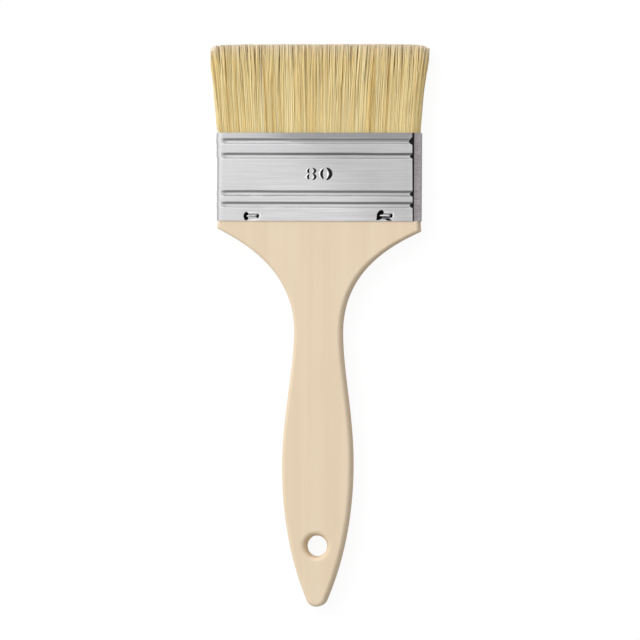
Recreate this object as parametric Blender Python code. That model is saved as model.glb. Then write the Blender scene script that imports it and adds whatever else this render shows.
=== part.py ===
"""Flat varnish brush, 80 mm wide, lying on its back.

X runs across the brush, +Y runs from the handle's nose to the bristle tips and
+Z points out of the front. The origin lies under the middle of the length, on
the plane that the ferrule's back panel rests on. Run it with
blender --background --python part.py, or from Blender's text editor.
"""

import math
import random

import bmesh
import bpy
from mathutils import Matrix, Vector
from mathutils.geometry import interpolate_bezier

MM = 0.001
GAP = 0.3 * MM                        # clearance between pieces that touch

# Overall sizes
LENGTH = 220.0 * MM                   # nose of the handle to the longest bristle
FERRULE_WIDTH = 80.0 * MM
FERRULE_DEPTH = 9.2 * MM              # front panel to back panel
FERRULE_LENGTH = 34.4 * MM            # mouth to foot
BRISTLE_OUT = 34.8 * MM               # bristle length that shows past the mouth
HANDLE_DEPTH = 7.8 * MM               # the board that the handle is cut from

# Stations along Y, and half sizes about the middle plane
MOUTH_Y = LENGTH / 2 - BRISTLE_OUT    # the ferrule's open edge, at the bristles
FOOT_Y = MOUTH_Y - FERRULE_LENGTH     # the ferrule's lower edge, at the wood
NOSE_Y = -LENGTH / 2
PANEL_Z = FERRULE_DEPTH / 2
BOARD_Z = HANDLE_DEPTH / 2

# Handle: half widths, with stations measured up from the nose
SHOULDER_HALF = 39.85 * MM
SHOULDER_DROP = 3.0 * MM              # below the ferrule's foot
SHOULDER_SLOPE = math.radians(29.6)   # fall of the shoulder where it leaves the corner
SWEEP_PULLS = (15.8 * MM, 20.2 * MM)  # reach of the sweep's two curve handles
WAIST_HALF, WAIST_UP = 9.18 * MM, 108.5 * MM
SWELL_PULLS = (17.2 * MM, 22.4 * MM)
BELLY_HALF, BELLY_UP = 13.7 * MM, 54.0 * MM
TAPER_PULLS = (26.4 * MM, 8.1 * MM)
NOSE_RADIUS = 4.03 * MM
NOSE_TURN = math.radians(66.0)        # arc of the nose on each side of its end
EDGE_ROUND = 2.4 * MM                 # rounding along both faces of the board
CURVE_STEPS = 12
NOSE_STEPS = 4

# Hanging hole, with rims rounded deep into the board
HOLE_UP = 23.5 * MM                   # from the nose
HOLE_RADIUS = 4.05 * MM
HOLE_STRAIGHT = 0.8 * MM              # half length of the plain throat
RIM_SPREAD = 1.75 * MM                # radial size of the rim's quarter ellipse
RIM_REACH = 3.2 * MM                  # its size along the bore
RIM_TURN = math.radians(75.0)
RIM_STEPS = 5
HOLE_SIDES = 32

# Ferrule: one folded sheet with an open seam near the front right edge
SHEET = 0.4 * MM
LEFT_BEND = 2.0 * MM
RIGHT_BEND = 2.6 * MM
LAP_TURN = math.radians(60.0)         # where the side strip's lip ends on its bend
SEAM_X = 38.2 * MM                    # free edge of the front panel
GROOVE_DEPTH = 0.35 * MM
GROOVE_HALF = 1.3 * MM
GROOVES_IN = (2.98 * MM, 8.86 * MM, 23.55 * MM, 28.1 * MM)   # from the mouth
GROOVE_ENDS = 2.2 * MM                # run-out of a groove before a side bend
SIDE_SWELL = 0.2 * MM                 # the sides bulge where a groove is rolled
BEND_STEPS = 4

# Staples: wire clips driven through the sheet into the tongue, front and back
WIRE_RADIUS = 0.4 * MM
WIRE_GAP = 0.2 * MM
STAPLE_IN = 32.3 * MM                 # from the mouth
STAPLE_XS = {"left": -26.0 * MM, "right": 27.2 * MM}
STAPLE_SPAN = 4.3 * MM                # between the legs
STAPLE_BEND = 0.5 * MM
LEG_END_Z = 1.0 * MM                  # the points stop short of the middle plane
PAN_DEPTH = 1.05 * MM                 # the sheet is pressed in under a crown
PAN_FLOOR = (2.4 * MM, 0.6 * MM)      # half sizes of the pan's floor
PAN_RIM = (3.2 * MM, 1.4 * MM)        # half sizes of its rim
LEG_HOLE = 0.75 * MM
TORN_HOLE = (1.0 * MM, 1.6 * MM)      # half sizes of the hole that tore open

# Inside the ferrule, measured from the mouth
TONGUE_IN = 19.9 * MM                 # the tongue's end
RESIN_IN = 11.0 * MM                  # the resin's face
SLICE_IN = 9.5 * MM                   # face of the slice that holds the strands
SLICE_THICK = 1.2 * MM
SPACER_IN = 5.0 * MM
SPACER_ROOT = 15.0 * MM
SPACER_HALF = 37.0 * MM
SPACER_DEPTH = 1.8 * MM
RESIN_HALF = 38.9 * MM

# Bristles: two banks, one on each side of the spacer
BANK_HALF = 38.4 * MM
BANK_INNER = 1.2 * MM
BANK_OUTER = 3.55 * MM
BANK_COLUMNS = 52
BANK_ROWS = 2
END_EASE = 2.4 * MM                   # length over which a bank thins to its ends
END_THIN = 0.2                        # share of its depth lost there
STRAND_GAP = 0.08 * MM                # inset of each strand in its cell
BEND_OUT = 0.6 * MM                   # the strands turn outwards just past the mouth
MOUTH_HALF = 39.0 * MM                # half width of the bundle at that turn
TIP_HALF = 43.05 * MM
TIP_INNER = 0.2 * MM
TIP_OUTER = 4.1 * MM
TIP_SIZE = 0.75                       # tip section as a share of the strand's root
TIP_DOME = 1.0 * MM                   # the outer strands end this much lower
TIP_UNEVEN = 0.9 * MM
TIP_STRAY = 0.2 * MM
BRISTLE_SEED = 80


# ---------------------------------------------------------------- helpers

def clear_scene():
    """Remove the objects that the open file starts with."""
    for item in list(bpy.data.objects):
        bpy.data.objects.remove(item, do_unlink=True)


def finish(name, color, roughness, metallic=0.0):
    """Make a plain Principled material."""
    material = bpy.data.materials.new(name)
    material.use_nodes = True
    shader = material.node_tree.nodes["Principled BSDF"]
    shader.inputs["Base Color"].default_value = (*color, 1.0)
    shader.inputs["Roughness"].default_value = roughness
    shader.inputs["Metallic"].default_value = metallic
    return material


def add_object(name, data, parent, material=None):
    """Link mesh or curve data as an object under the brush's empty."""
    item = bpy.data.objects.new(name, data)
    bpy.context.scene.collection.objects.link(item)
    item.parent = parent
    if material:
        data.materials.append(material)
    return item


def mesh_from(bm, name, smooth_angle=None):
    """Turn a bmesh into mesh data, smooth up to an angle where one is given."""
    mesh = bpy.data.meshes.new(name)
    bm.to_mesh(mesh)
    bm.free()
    if smooth_angle is not None:
        mesh.shade_smooth()
        mesh.set_sharp_from_angle(angle=smooth_angle)
    return mesh


def add_cutter(name, bm, parent):
    """Link a bmesh as a hidden guide that a Boolean cuts with."""
    cutter = add_object(name, mesh_from(bm, name), parent)
    cutter.hide_render = True
    cutter.display_type = "WIRE"
    return cutter


def cut(item, cutter):
    """Cut one object out of another with a live modifier."""
    modifier = item.modifiers.new(cutter.name, "BOOLEAN")
    modifier.operation = "DIFFERENCE"
    modifier.solver = "EXACT"
    modifier.object = cutter


def staple_sites():
    """Yield every staple's name, its X, and +1 for the front or -1 for the back."""
    for face, side in (("front", 1), ("back", -1)):
        for place, x in STAPLE_XS.items():
            yield f"{face}_{place}", x, side


def add_frustum(bm, center, floor, rim, height, side):
    """Add a four-sided cutter that widens from its floor to its rim, towards side."""
    made = bmesh.ops.create_cube(bm, size=2.0)["verts"]
    for vert in made:
        half = rim if vert.co.z > 0 else floor
        level = height if vert.co.z > 0 else 0.0
        vert.co = center + Vector((vert.co.x * half[0], vert.co.y * half[1], level * side))
    if side < 0:
        turned = {face for vert in made for face in vert.link_faces}
        bmesh.ops.reverse_faces(bm, faces=list(turned))


def add_rod(bm, center, radii, z_low, z_high, sides=12):
    """Add an upright rod of oval section between two heights."""
    made = bmesh.ops.create_cone(
        bm, cap_ends=True, segments=sides, radius1=1.0, radius2=1.0, depth=1.0)["verts"]
    for vert in made:
        level = z_high if vert.co.z > 0 else z_low
        vert.co = Vector((center[0] + vert.co.x * radii[0], center[1] + vert.co.y * radii[1], level))


# ---------------------------------------------------------------- handle

def handle_half():
    """Outline of the handle's right half, from the tongue's end to the nose."""
    tongue_half = FERRULE_WIDTH / 2 - SHEET - GAP
    tongue_end = MOUTH_Y - TONGUE_IN
    corner = Vector((SHOULDER_HALF, FOOT_Y - SHOULDER_DROP))
    waist = Vector((WAIST_HALF, NOSE_Y + WAIST_UP))
    belly = Vector((BELLY_HALF, NOSE_Y + BELLY_UP))
    turn = Vector((math.sin(NOSE_TURN), 1.0 - math.cos(NOSE_TURN))) * NOSE_RADIUS
    nose_start = Vector((turn.x, NOSE_Y + turn.y))
    fall = Vector((-math.cos(SHOULDER_SLOPE), -math.sin(SHOULDER_SLOPE)))
    rise = Vector((math.cos(NOSE_TURN), math.sin(NOSE_TURN)))
    down = Vector((0.0, -1.0))

    stretches = (
        (corner, corner + fall * SWEEP_PULLS[0], waist - down * SWEEP_PULLS[1], waist),
        (waist, waist + down * SWELL_PULLS[0], belly - down * SWELL_PULLS[1], belly),
        (belly, belly + down * TAPER_PULLS[0], nose_start + rise * TAPER_PULLS[1], nose_start),
    )
    points = [Vector((tongue_half, tongue_end)), Vector((tongue_half, FOOT_Y + GAP))]
    for stretch in stretches:
        points += interpolate_bezier(*stretch, CURVE_STEPS + 1)[:-1]
    for step in range(NOSE_STEPS):
        angle = NOSE_TURN * (1.0 - step / NOSE_STEPS)
        points.append(Vector((math.sin(angle), 1.0 - math.cos(angle))) * NOSE_RADIUS
                      + Vector((0.0, NOSE_Y)))
    return points


def add_hole(bm):
    """Add the turned cutter of the hanging hole."""
    quarter = []
    for step in range(RIM_STEPS + 1):
        angle = RIM_TURN * step / RIM_STEPS
        radius = HOLE_RADIUS + RIM_SPREAD * (1.0 - math.cos(angle))
        quarter.append((radius, HOLE_STRAIGHT + RIM_REACH * math.sin(angle)))
    flare = RIM_SPREAD * math.sin(RIM_TURN) / (RIM_REACH * math.cos(RIM_TURN))
    past = 1.0 * MM                   # the cutter goes on past the board's face
    quarter.append((quarter[-1][0] + flare * past, quarter[-1][1] + past))
    profile = [(0.0, -quarter[-1][1])]
    profile += [(radius, -height) for radius, height in reversed(quarter)]
    profile += quarter
    profile.append((0.0, quarter[-1][1]))

    center = Vector((0.0, NOSE_Y + HOLE_UP, 0.0))
    verts = [bm.verts.new(center + Vector((radius, 0.0, height))) for radius, height in profile]
    edges = [bm.edges.new(pair) for pair in zip(verts, verts[1:])]
    bmesh.ops.spin(bm, geom=verts + edges, cent=center, axis=(0, 0, 1),
                   angle=math.tau, steps=HOLE_SIDES, use_merge=True)
    bmesh.ops.remove_doubles(bm, verts=bm.verts, dist=0.001 * MM)
    bmesh.ops.recalc_face_normals(bm, faces=bm.faces)


def build_handle(parent, material):
    """The wooden board: outline, rounded edges, hole, and seats for the ferrule."""
    bm = bmesh.new()
    right = handle_half()
    left = [Vector((-point.x, point.y)) for point in reversed(right)]
    outline = right + [Vector((0.0, NOSE_Y))] + left
    verts = [bm.verts.new((point.x, point.y, -BOARD_Z)) for point in outline]
    face = bm.faces.new(verts)
    raised = bmesh.ops.extrude_face_region(bm, geom=[face])["geom"]
    top = [item for item in raised if isinstance(item, bmesh.types.BMVert)]
    bmesh.ops.translate(bm, verts=top, vec=(0.0, 0.0, HANDLE_DEPTH))
    bmesh.ops.recalc_face_normals(bm, faces=bm.faces)
    rims = [edge for edge in bm.edges if edge.verts[0].co.z * edge.verts[1].co.z > 0]
    bmesh.ops.bevel(bm, geom=rims, offset=EDGE_ROUND, offset_type="OFFSET", segments=4,
                    profile=0.5, affect="EDGES", clamp_overlap=False, material=-1)
    handle = add_object("handle", mesh_from(bm, "handle", math.radians(40)), parent, material)

    bore = bmesh.new()
    add_hole(bore)
    cut(handle, add_cutter("hole_cutter", bore, parent))

    seats = bmesh.new()
    span = FERRULE_WIDTH / 2
    past = 1.0 * MM
    for side in (1, -1):
        for groove in GROOVES_IN:
            if groove < TONGUE_IN:
                continue
            depth = GROOVE_DEPTH + 0.05 * MM
            center = Vector((0.0, MOUTH_Y - groove, (BOARD_Z - depth) * side))
            floor = (span, GROOVE_HALF)
            slope = past / depth * GROOVE_HALF / 4
            add_frustum(seats, center, floor, (span, GROOVE_HALF + slope), depth + past, side)
    for _, x, side in staple_sites():
        bottom = PANEL_Z - PAN_DEPTH - SHEET - GAP
        center = Vector((x, MOUTH_Y - STAPLE_IN, bottom * side))
        floor = (PAN_FLOOR[0] + 2 * GAP, PAN_FLOOR[1] + 2 * GAP)
        rim = (PAN_RIM[0] + 2 * GAP, PAN_RIM[1] + 2 * GAP)
        add_frustum(seats, center, floor, rim, PANEL_Z - bottom, side)
    cut(handle, add_cutter("seat_cutter", seats, parent))

    legs = bmesh.new()
    for _, x, side in staple_sites():
        for leg in (-1, 1):
            center = (x + leg * STAPLE_SPAN / 2, MOUTH_Y - STAPLE_IN)
            ends = sorted(((LEG_END_Z - GAP) * side, PANEL_Z * side))
            add_rod(legs, center, (LEG_HOLE, LEG_HOLE), *ends)
    cut(handle, add_cutter("leg_cutter", legs, parent))
    return handle


# ---------------------------------------------------------------- ferrule

def arc(center, radius, start, end):
    """Points along an arc, both ends included."""
    points = []
    for step in range(BEND_STEPS + 1):
        angle = start + (end - start) * step / BEND_STEPS
        points.append(Vector(center) + radius * Vector((math.cos(angle), math.sin(angle))))
    return points


def panel_columns():
    """X of the panel's columns, with the ones that shape the pans."""
    columns = []
    for x in STAPLE_XS.values():
        for reach in (PAN_RIM[0], PAN_FLOOR[0]):
            columns += [x - reach, x + reach]
    left = -FERRULE_WIDTH / 2 + LEFT_BEND
    return sorted(columns + [left + GROOVE_ENDS, 0.0, SEAM_X - GROOVE_ENDS])


def sheet_path():
    """The sheet's section in X and Z: side strip, back, left side, front panel."""
    quarter = math.pi / 2
    right = FERRULE_WIDTH / 2 - RIGHT_BEND
    left = -FERRULE_WIDTH / 2 + LEFT_BEND
    path = arc((right, PANEL_Z - RIGHT_BEND), RIGHT_BEND, LAP_TURN, 0.0)
    path += arc((right, RIGHT_BEND - PANEL_Z), RIGHT_BEND, 0.0, -quarter)
    path += [Vector((x, -PANEL_Z)) for x in reversed(panel_columns())]
    path += arc((left, LEFT_BEND - PANEL_Z), LEFT_BEND, -quarter, -2 * quarter)
    path += arc((left, PANEL_Z - LEFT_BEND), LEFT_BEND, 2 * quarter, quarter)
    path += [Vector((x, PANEL_Z)) for x in panel_columns()]
    path.append(Vector((SEAM_X, PANEL_Z)))
    return path


def sheet_rows():
    """Distances from the mouth at which the sheet has a row of points."""
    rows = [0.0, FERRULE_LENGTH]
    for index, groove in enumerate(GROOVES_IN):
        shares = (0.0, 0.5, 1.0) if index == 0 else (-1.0, -0.5, 0.0, 0.5, 1.0)
        rows += [groove + share * GROOVE_HALF for share in shares]
    for reach in (PAN_RIM[1], PAN_FLOOR[1]):
        rows += [STAPLE_IN - reach, STAPLE_IN + reach]
    return sorted(rows)


def groove_share(inset):
    """How deep the rolled grooves are at a distance from the mouth, 0 to 1."""
    if inset < GROOVES_IN[0]:
        return inset / GROOVES_IN[0]
    nearest = min(abs(inset - groove) for groove in GROOVES_IN)
    if nearest >= GROOVE_HALF:
        return 0.0
    return 0.5 + 0.5 * math.cos(math.pi * nearest / GROOVE_HALF)


def pan_share(x, inset):
    """How deep the pan under a staple is at a point of a panel, 0 to 1."""
    nearest = min(abs(x - center) for center in STAPLE_XS.values())
    along = (PAN_RIM[0] - nearest) / (PAN_RIM[0] - PAN_FLOOR[0])
    across = (PAN_RIM[1] - abs(inset - STAPLE_IN)) / (PAN_RIM[1] - PAN_FLOOR[1])
    return max(0.0, min(1.0, along, across))


def press_sheet(bm):
    """Roll the grooves and press the pans into the flat panels."""
    left_end = -FERRULE_WIDTH / 2 + LEFT_BEND
    right_end = FERRULE_WIDTH / 2 - RIGHT_BEND
    for vert in bm.verts:
        x, y, z = vert.co
        share = groove_share(MOUTH_Y - y)
        on_panel = abs(abs(z) - PANEL_Z) < 0.01 * MM
        if on_panel:
            run_out = (x - left_end) / GROOVE_ENDS
            if z < 0:
                run_out = min(run_out, (right_end - x) / GROOVE_ENDS)
            depth = GROOVE_DEPTH * share * max(0.0, min(1.0, run_out))
            depth += PAN_DEPTH * pan_share(x, MOUTH_Y - y)
            vert.co.z -= math.copysign(depth, z)
        elif abs(x) > FERRULE_WIDTH / 2 - LEFT_BEND / 2:
            vert.co.x += math.copysign(SIDE_SWELL * share, x)


def build_ferrule(parent, material):
    """The folded sheet, drawn as its outer surface and given its thickness inwards."""
    bm = bmesh.new()
    verts = [bm.verts.new((point.x, MOUTH_Y, point.y)) for point in sheet_path()]
    chain = [bm.edges.new(pair) for pair in zip(verts, verts[1:])]
    rows = sheet_rows()
    for above, below in zip(rows, rows[1:]):
        grown = bmesh.ops.extrude_edge_only(bm, edges=chain)["geom"]
        moved = [item for item in grown if isinstance(item, bmesh.types.BMVert)]
        bmesh.ops.translate(bm, verts=moved, vec=(0.0, above - below, 0.0))
        chain = [item for item in grown if isinstance(item, bmesh.types.BMEdge)
                 and item.verts[0] in moved and item.verts[1] in moved]
    bmesh.ops.recalc_face_normals(bm, faces=bm.faces)
    lowest = min(bm.faces, key=lambda face: face.calc_center_median().z)
    if lowest.normal.z > 0:
        bmesh.ops.reverse_faces(bm, faces=bm.faces)
    press_sheet(bm)
    ferrule = add_object("ferrule", mesh_from(bm, "ferrule", math.radians(50)), parent, material)
    wall = ferrule.modifiers.new("wall", "SOLIDIFY")
    wall.thickness = SHEET
    wall.offset = -1.0
    wall.use_even_offset = True

    holes = bmesh.new()
    for _, x, side in staple_sites():
        ends = sorted(((BOARD_Z - PAN_DEPTH) * side - GAP * side, (PANEL_Z + GAP) * side))
        leg = STAPLE_SPAN / 2
        add_rod(holes, (x + leg, MOUTH_Y - STAPLE_IN), (LEG_HOLE, LEG_HOLE), *ends)
        add_rod(holes, (x - leg - GAP, MOUTH_Y - STAPLE_IN), TORN_HOLE, *ends)
    cut(ferrule, add_cutter("sheet_hole_cutter", holes, parent))
    return ferrule


# ---------------------------------------------------------------- staples

def build_staple(name, x, side, parent, material):
    """A round wire bent into a crown and two legs, as a bevelled curve."""
    crown_z = PANEL_Z - PAN_DEPTH + WIRE_GAP + WIRE_RADIUS
    half = STAPLE_SPAN / 2
    path = [Vector((-half, LEG_END_Z))]
    for step in range(BEND_STEPS + 1):
        angle = math.pi - math.pi / 2 * step / BEND_STEPS
        path.append(Vector((STAPLE_BEND - half + STAPLE_BEND * math.cos(angle),
                            crown_z - STAPLE_BEND + STAPLE_BEND * math.sin(angle))))
    path += [Vector((-point.x, point.y)) for point in reversed(path)]

    curve = bpy.data.curves.new(name, "CURVE")
    curve.dimensions = "3D"
    curve.bevel_depth = WIRE_RADIUS
    curve.bevel_resolution = 2
    curve.use_fill_caps = True
    spline = curve.splines.new("POLY")
    spline.points.add(len(path) - 1)
    for point, place in zip(spline.points, path):
        point.co = (place.x, 0.0, place.y * side, 1.0)
    staple = add_object(name, curve, parent, material)
    staple.location = (x, MOUTH_Y - STAPLE_IN, 0.0)
    return staple


# ---------------------------------------------------------------- inside the ferrule

def add_block(bm, half_x, y_low, y_high, half_z):
    """Add a plain block that is centred on X and on the middle plane."""
    center = Vector((0.0, (y_low + y_high) / 2, 0.0))
    size = Vector((2 * half_x, y_high - y_low, 2 * half_z))
    place = Matrix.LocRotScale(center, None, size)
    return bmesh.ops.create_cube(bm, size=1.0, matrix=place)["verts"]


def build_resin(parent, material):
    """The cast block that holds the bristle roots, with the spacer's slot in it."""
    bm = bmesh.new()
    add_block(bm, RESIN_HALF, MOUTH_Y - TONGUE_IN + GAP, MOUTH_Y - RESIN_IN, BOARD_Z)
    corners = [edge for edge in bm.edges
               if abs(edge.verts[0].co.y - edge.verts[1].co.y) > SHEET]
    bmesh.ops.bevel(bm, geom=corners, offset=EDGE_ROUND, offset_type="OFFSET", segments=4,
                    profile=0.5, affect="EDGES", clamp_overlap=True, material=-1)
    resin = add_object("resin_setting", mesh_from(bm, "resin_setting", math.radians(40)),
                       parent, material)
    slot = bmesh.new()
    past = 1.0 * MM
    add_block(slot, SPACER_HALF + GAP, MOUTH_Y - SPACER_ROOT - GAP, MOUTH_Y - RESIN_IN + past,
              SPACER_DEPTH / 2 + GAP)
    cut(resin, add_cutter("slot_cutter", slot, parent))
    return resin


def build_spacer(parent, material):
    """The thin strip that keeps the two banks apart and leaves a space for paint."""
    bm = bmesh.new()
    add_block(bm, SPACER_HALF, MOUTH_Y - SPACER_ROOT, MOUTH_Y - SPACER_IN, SPACER_DEPTH / 2)
    bmesh.ops.bevel(bm, geom=bm.edges, offset=0.3 * MM, offset_type="OFFSET", segments=1,
                    profile=0.5, affect="EDGES", clamp_overlap=True, material=-1)
    return add_object("spacer_strip", mesh_from(bm, "spacer_strip"), parent, material)


# ---------------------------------------------------------------- bristles

def blend(value, start, end, new_start, new_end):
    """Map a value from one range onto another."""
    return new_start + (value - start) / (end - start) * (new_end - new_start)


def spread_tip(face, rng):
    """Carry a strand's end out to its tip: fanned out, tapered and a little uneven."""
    center = face.calc_center_median()
    x = blend(center.x, -MOUTH_HALF, MOUTH_HALF, -TIP_HALF, TIP_HALF)
    z = blend(center.z, BANK_INNER, BANK_OUTER, TIP_INNER, TIP_OUTER)
    dome = TIP_DOME * (x / TIP_HALF) ** 2
    y = MOUTH_Y + BRISTLE_OUT - dome - TIP_UNEVEN * rng.random()
    tip = Vector((x + TIP_STRAY * rng.uniform(-1, 1), y, z + TIP_STRAY * rng.uniform(-1, 1)))
    for vert in face.verts:
        offset = (vert.co - center) * TIP_SIZE
        vert.co = tip + Vector((offset.x, 0.0, offset.z))


def build_bank(name, side, seed, parent, material):
    """One bank of three-sided strands standing on a slice of the resin."""
    bm = bmesh.new()
    grid = bmesh.ops.create_grid(bm, x_segments=BANK_COLUMNS, y_segments=BANK_ROWS, size=1.0)
    middle = (BANK_INNER + BANK_OUTER) / 2
    half = (BANK_OUTER - BANK_INNER) / 2
    cell = 2 * BANK_HALF / BANK_COLUMNS
    for vert in grid["verts"]:
        x = vert.co.x * BANK_HALF
        if not vert.is_boundary:      # the middle row stands half a cell to one side
            x += cell / 2
        z = middle + vert.co.y * half
        past = max(0.0, abs(x) - BANK_HALF + END_EASE) / END_EASE
        z -= (z - BANK_INNER) * END_THIN * past ** 2
        vert.co = (x, MOUTH_Y - SLICE_IN, z)
    bmesh.ops.triangulate(bm, faces=bm.faces)
    cells = list(bm.faces)

    border = [edge for edge in bm.edges if edge.is_boundary]
    grown = bmesh.ops.extrude_edge_only(bm, edges=border)["geom"]
    lower = [item for item in grown if isinstance(item, bmesh.types.BMVert)]
    bmesh.ops.translate(bm, verts=lower, vec=(0.0, -SLICE_THICK, 0.0))
    open_edges = [edge for edge in bm.edges if edge.is_boundary]
    bmesh.ops.holes_fill(bm, edges=open_edges, sides=len(open_edges))
    bmesh.ops.recalc_face_normals(bm, faces=bm.faces)

    bmesh.ops.inset_individual(bm, faces=cells, thickness=STRAND_GAP, use_even_offset=True)
    strands = bmesh.ops.extrude_discrete_faces(bm, faces=cells)["faces"]
    for strand in strands:
        for vert in strand.verts:
            vert.co.x *= MOUTH_HALF / BANK_HALF
            vert.co.y = MOUTH_Y + BEND_OUT
    tips = bmesh.ops.extrude_discrete_faces(bm, faces=strands)["faces"]
    rng = random.Random(seed)
    for tip in tips:
        spread_tip(tip, rng)
    if side < 0:
        bmesh.ops.rotate(bm, verts=bm.verts, cent=(0.0, 0.0, 0.0),
                         matrix=Matrix.Rotation(math.pi, 3, "Y"))
    return add_object(name, mesh_from(bm, name), parent, material)


# ---------------------------------------------------------------- assembly

def main():
    """Build every piece under one empty that stands at the middle plane's height."""
    clear_scene()
    brush = bpy.data.objects.new("brush", None)
    bpy.context.scene.collection.objects.link(brush)
    brush.location = (0.0, 0.0, PANEL_Z)

    wood = finish("pale_wood", (0.76, 0.62, 0.44), 0.6)
    tinned = finish("tinned_sheet", (0.72, 0.72, 0.73), 0.35, 1.0)
    wire = finish("staple_wire", (0.55, 0.55, 0.56), 0.3, 1.0)
    amber = finish("cast_resin", (0.36, 0.22, 0.09), 0.3)
    board = finish("spacer_board", (0.45, 0.34, 0.22), 0.8)
    filament = finish("filament", (0.74, 0.57, 0.29), 0.45)

    build_handle(brush, wood)
    build_ferrule(brush, tinned)
    build_resin(brush, amber)
    build_spacer(brush, board)
    build_bank("bristles_front", 1, BRISTLE_SEED, brush, filament)
    build_bank("bristles_back", -1, BRISTLE_SEED + 1, brush, filament)
    for name, x, side in staple_sites():
        build_staple(f"staple_{name}", x, side, brush, wire)


main()
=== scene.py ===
"""Looks of a flat varnish brush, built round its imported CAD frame.

X runs across the brush, +Y from the handle's nose to the bristle tips and +Z out of
the front. The brush lies on its back on the floor at z = 0. Lengths are in metres.
"""

from __future__ import annotations

import logging
import math
import random
from contextlib import contextmanager
from dataclasses import dataclass, field
from enum import Enum
from itertools import pairwise
from typing import Iterator, Sequence

import bmesh
import bpy
from mathutils import Matrix, Vector, noise
from mathutils.geometry import interpolate_bezier


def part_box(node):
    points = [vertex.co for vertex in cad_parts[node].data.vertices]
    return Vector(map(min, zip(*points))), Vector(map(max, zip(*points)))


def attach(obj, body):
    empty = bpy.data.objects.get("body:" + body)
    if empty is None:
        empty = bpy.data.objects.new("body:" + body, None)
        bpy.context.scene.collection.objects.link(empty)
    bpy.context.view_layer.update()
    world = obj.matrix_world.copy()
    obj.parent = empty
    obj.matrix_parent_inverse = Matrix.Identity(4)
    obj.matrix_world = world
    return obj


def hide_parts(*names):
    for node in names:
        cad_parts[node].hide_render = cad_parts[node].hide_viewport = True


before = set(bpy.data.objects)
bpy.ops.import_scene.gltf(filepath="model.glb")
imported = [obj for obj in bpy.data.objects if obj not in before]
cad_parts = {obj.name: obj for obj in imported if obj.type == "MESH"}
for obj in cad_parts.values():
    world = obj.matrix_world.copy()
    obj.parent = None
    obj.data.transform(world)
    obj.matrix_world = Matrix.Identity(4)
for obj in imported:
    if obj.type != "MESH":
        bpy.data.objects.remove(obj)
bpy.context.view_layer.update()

LOG = logging.getLogger("brush")
MM = 0.001
Pair = tuple[float, float]
Triple = tuple[float, float, float]
Color = Triple
Object, Material, Mesh = bpy.types.Object, bpy.types.Material, bpy.types.Mesh
Socket = bpy.types.NodeSocket
BMesh, BMVert, BMEdge = bmesh.types.BMesh, bmesh.types.BMVert, bmesh.types.BMEdge


class Face(Enum):
    """The two broad faces of the brush, with the sign of their Z."""

    FRONT = 1
    BACK = -1


class Slot(Enum):
    """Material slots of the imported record."""

    WOOD = "pale_wood"
    SHEET = "tinned_sheet"
    RESIN = "cast_resin"
    BOARD = "spacer_board"
    FILAMENT = "filament"
    WIRE = "staple_wire"


# ---- shared tools

def smooth(value: float, start: float, end: float) -> float:
    """Ease a value from 0 at start to 1 at end, which may lie below start."""
    share = max(0.0, min(1.0, (value - start) / (end - start)))
    return share * share * (3.0 - 2.0 * share)


def mixed(first: float, second: float, share: float) -> float:
    """Return the value that lies a share of the way from first to second."""
    return first + (second - first) * share


def plateau(value: float, start: float, full: float, high: float, end: float) -> float:
    """Rise from 0 at start to 1 at full, and fall again from high to end."""
    return smooth(value, start, full) * (1.0 - smooth(value, high, end))


def bell(away: float, width: float, power: int = 2) -> float:
    """Return the height of a bell curve at a distance from its middle."""
    return math.exp(-(away / width) ** power)


def spread(low: float, high: float, pitch: float) -> list[float]:
    """Return places about a pitch apart, past low and up to high itself."""
    count = max(1, round((high - low) / pitch))
    return [mixed(low, high, step / count) for step in range(1, count + 1)]


def ripple(x: float, y: float, seed: float, size: float) -> float:
    """Return slow unevenness from about -1 to 1, in swells of a size, unlike for each seed."""
    return noise.noise(Vector((x / size, y / size, seed)))


def shade(mesh: Mesh, sharp: float) -> None:
    """Shade a mesh smooth, but for edges that turn by more than some degrees."""
    mesh.shade_smooth()
    mesh.set_sharp_from_angle(angle=math.radians(sharp))


def add(name: str, data: bpy.types.ID) -> Object:
    """Link and return a new object, its own origin at the world's."""
    item = bpy.data.objects.new(name, data)
    bpy.context.scene.collection.objects.link(item)
    return item


def link_mesh(bm: BMesh, name: str, sharp: float | None = None) -> Object:
    """Turn a bmesh into a linked object.

    Args:
        bm: The mesh; it is freed here.
        name: Name of the new object.
        sharp: Edges turning by more than this many degrees stay sharp.

    Returns:
        The new object.
    """
    mesh = bpy.data.meshes.new(name)
    bm.to_mesh(mesh)
    bm.free()
    if sharp is not None:
        shade(mesh, sharp)
    return add(name, mesh)


def baked(item: Object) -> Mesh:
    """Return the mesh that an object's modifiers, or its curve, make."""
    bpy.context.view_layer.update()
    evaluated = item.evaluated_get(bpy.context.evaluated_depsgraph_get())
    return bpy.data.meshes.new_from_object(evaluated)


def settle(item: Object) -> None:
    """Replace an object's mesh by what its modifiers make of it, and drop them."""
    mesh = baked(item)
    item.modifiers.clear()
    item.data = mesh


@contextmanager
def editing(item: Object) -> Iterator[BMesh]:
    """Open an object's mesh for work, and put it back afterwards."""
    bm = bmesh.new()
    bm.from_mesh(item.data)
    yield bm
    bm.to_mesh(item.data)
    bm.free()


def extruded(bm: BMesh, edges: Sequence[BMEdge]) -> tuple[set, list]:
    """Extrude a chain of edges in place, and return the new points and the new chain."""
    grown = bmesh.ops.extrude_edge_only(bm, edges=edges)["geom"]
    moved = {item for item in grown if isinstance(item, BMVert)}
    return moved, [item for item in grown if isinstance(item, BMEdge)
                   and item.verts[0] in moved and item.verts[1] in moved]


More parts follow.
